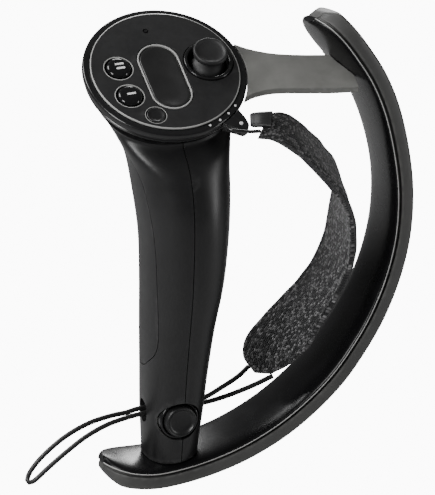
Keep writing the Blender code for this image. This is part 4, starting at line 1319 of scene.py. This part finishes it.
def makeStrap():
    rows = bandRows(strap["edges"], strap["perSpan"])
    half = strap["across"]
    shares = [1.0 - 2.0 * i / half for i in range(half + 1)]
    shares = [math.copysign(1.0 - (1.0 - abs(s)) ** 1.35, s) for s in shares]
    rings = []
    for row in rows:
        loop = [strapPoint(row, s, 1) for s in shares]
        loop += [strapPoint(row, s, -1) for s in shares[-2:0:-1]]
        rings.append(loop)
    lengths = lineLengths([row[0] for row in rows])

    def mapped(k, i):
        count = 2 * half
        i = i % count if i < count else i - count
        share = shares[i] if i <= half else shares[count - i]
        return (lengths[k] * mm, share * rows[k][1].length * mm + (0.0 if i <= half else 0.1))

    mesh = loftMesh("handStrap", rings, 60.0, mapped)
    piece = addPiece("handStrap", mesh, "knit", None, ["hand_strap"], "knit_fabric")
    return piece, rows


def stitchTree():
    # Stitches: short bars along a line, at an even pitch, set on its tangent.
    tree = bpy.data.node_groups.new("stitchRow", "GeometryNodeTree")
    face = tree.interface
    face.new_socket("Geometry", in_out="INPUT", socket_type="NodeSocketGeometry")
    for socket, value in (("Pitch", strap["stitchPitch"]), ("Length", strap["stitchLength"]),
                          ("Thickness", strap["stitchThick"])):
        face.new_socket(socket, in_out="INPUT", socket_type="NodeSocketFloat").default_value = value
    face.new_socket("Thread", in_out="INPUT", socket_type="NodeSocketMaterial")
    face.new_socket("Geometry", in_out="OUTPUT", socket_type="NodeSocketGeometry")
    given = tree.nodes.new("NodeGroupInput")
    out = tree.nodes.new("NodeGroupOutput")
    curve = wired(tree, "GeometryNodeMeshToCurve", Mesh=given.outputs["Geometry"]).outputs["Curve"]
    points = tree.nodes.new("GeometryNodeCurveToPoints")
    points.mode = "LENGTH"
    feed(tree, points.inputs["Curve"], curve)
    feed(tree, points.inputs["Length"], given.outputs["Pitch"])
    bar = wired(tree, "GeometryNodeMeshUVSphere", Segments=8, Rings=6, Radius=given.outputs["Thickness"])
    ratio = mathNode(tree, "DIVIDE", given.outputs["Length"], given.outputs["Thickness"])
    stretch = wired(tree, "ShaderNodeCombineXYZ", X=1.0, Y=1.0, Z=product(tree, ratio, 0.5))
    turn = wired(tree, "FunctionNodeAlignRotationToVector", Vector=points.outputs["Tangent"])
    turn.axis = "Z"
    place = wired(tree, "GeometryNodeInstanceOnPoints", Points=points.outputs["Points"],
                  Instance=bar.outputs["Mesh"],
                  Scale=stretch.outputs[0], Rotation=turn.outputs[0])
    real = wired(tree, "GeometryNodeRealizeInstances", Geometry=place.outputs["Instances"])
    smooth = wired(tree, "GeometryNodeSetShadeSmooth", Geometry=real.outputs["Geometry"])
    finish = wired(tree, "GeometryNodeSetMaterial", Geometry=smooth.outputs["Geometry"],
                   Material=given.outputs["Thread"])
    tree.links.new(finish.outputs["Geometry"], out.inputs["Geometry"])
    return tree


def grown(name, mesh, tree, **values):
    # Runs a node tree on a mesh and returns the plain mesh it makes.
    item = bpy.data.objects.new(name, mesh)
    scene.collection.objects.link(item)
    grow = item.modifiers.new("grow", "NODES")
    grow.node_group = tree
    for socket in tree.interface.items_tree:
        if socket.in_out == "INPUT" and socket.name in values:
            grow[socket.identifier] = values[socket.name]
    made = evaluatedMesh(item)
    made.name = name
    bpy.data.objects.remove(item, do_unlink=True)
    return made


def makeStitches(rows):
    tree = stitchTree()
    verts, edges = [], []
    for share in (strap["hem"], -strap["hem"]):
        start = len(verts)
        for row in rows[6:len(rows) - 10]:
            verts.append(strapPoint(row, share, -1) - row[2] * 0.08 * mm)
        edges += [(i, i + 1) for i in range(start, len(verts) - 1)]
    line = bpy.data.meshes.new("stitchLine")
    line.from_pydata(verts, edges, [])
    mesh = grown("strapStitches", line, tree, Thread=looks["thread"])
    return addPiece("strapStitches", mesh, "thread", None, slot="knit_fabric")


def makeTab():
    edges = (
        ((21.4, -22.6, 69.5), (23.0, -17.6, 72.1)), ((22.8, -23.9, 69.8), (24.6, -18.5, 72.6)),
        ((24.6, -25.4, 70.2), (26.6, -19.9, 73.2)), ((27.4, -27.3, 70.4), (29.9, -21.7, 73.7)),
    )
    rings = []
    for k, (middle, across, out) in enumerate(bandRows(edges, 6)):
        end = min(k, 3) / 3
        swell = 0.35 + 0.65 * math.sin(end * math.pi / 2)
        loop = []
        for i in range(28):
            angle = 2 * math.pi * i / 28
            c, s = math.cos(angle), math.sin(angle)
            wide = math.copysign(abs(c) ** 0.55, c)
            tall = math.copysign(abs(s) ** 0.75, s)
            loop.append((middle + across * wide * (0.85 + 0.15 * swell) + out * tall * swell) * mm)
        rings.append(loop)
    addPiece("strapTab", loftMesh("strapTab", rings, 50.0), "tab", "strap_anchor", ["strap_tab"], "rubber")


def makeAnchor():
    rim = plate["rim"] + plate["gap"]
    centre, reach = math.radians(-55.0), math.radians(9.0)
    steps = [centre - reach + 2 * reach * i / 16 for i in range(17)]
    outline = [Vector((rim * math.cos(a), rim * math.sin(a))) for a in steps]
    for extra, angle in ((0.0040, steps[13]), (0.0072, steps[10]), (0.0072, steps[6]), (0.0040, steps[4])):
        outline.append(Vector(((rim + extra) * math.cos(angle), (rim + extra) * math.sin(angle))))
    outline = outline[:17] + filleted([outline[16]] + outline[17:] + [outline[0]], 0.0012)[1:-1]
    mesh = slabMesh("strapAnchor", [[tuple(p) for p in outline]], -0.0050, -0.0008, 0.0005, deckPlace)
    addPiece("strapAnchor", mesh, "rim", "strap_anchor", ["strap_anchor"], "black_shell")
    angle = math.radians(-55.0)
    spot = onDeck(0.0338 * math.cos(angle), 0.0338 * math.sin(angle), -0.00072)
    profile = [(0.0, 0.0001), (0.0006, 0.00008), (0.00075, -0.0001), (0.0, -0.0001)]
    loop = ((12.8, -20.6, 70.2), (14.6, -23.2, 69.6), (19.4, -25.8, 69.4), (23.4, -27.6, 69.7))
    addPiece("anchorLoop", tubeMesh("anchorLoop", loop, 0.00065), "rim", "strap_anchor", ["anchor_wire"],
             "black_shell")
    addPiece("anchorMark", latheMesh("anchorMark", profile, spot, 24), "white", "strap_anchor",
             slot="white_mark")


def strapPieces():
    piece, rows = makeStrap()
    stitches = makeStitches(rows)
    start = tuple(rows[14][0] * mm)
    stop = tuple(rows[len(rows) - 26][0] * mm)
    for item in (piece, stitches):
        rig.blend(item, "strap_anchor", "root", start=start, end=stop)
    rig.padded(piece, fill=0.6)


strapPieces()
makeTab()
makeAnchor()
print("strap")


# Finishes of the CAD parts that stay.

kept = {
    "steel": ("charge_port", "button_a_switch", "button_b_switch", "system_button_switch", "stick_rocker",
              "stick_gimbal", "stick_base", "haptic_motor", "trigger_pin", "trigger_bracket",
              "trigger_spring",
              "lock_spring"),
    "board": ("trackpad_sensor", "main_board"),
    "copper": ("ring_flex",),
    "cell": ("battery",),
    "shell": ("port_bezel",),
    "grey": ("lock_plunger", "lock_body"),
    "gloss": ("status_led", *("ring_sensor_%d" % i for i in range(1, 7))),
}
for look, names in kept.items():
    for name in names:
        node = frame["nodes"][name]
        node.data.materials.clear()
        node.data.materials.append(looks[look])

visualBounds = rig.bounds()
with open("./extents.json", "w") as sizes:
    json.dump({"cad": [list(map(float, corner)) for corner in cadBounds],
               "visual": [list(map(float, corner)) for corner in visualBounds]}, sizes)
print("size", sizes.name)
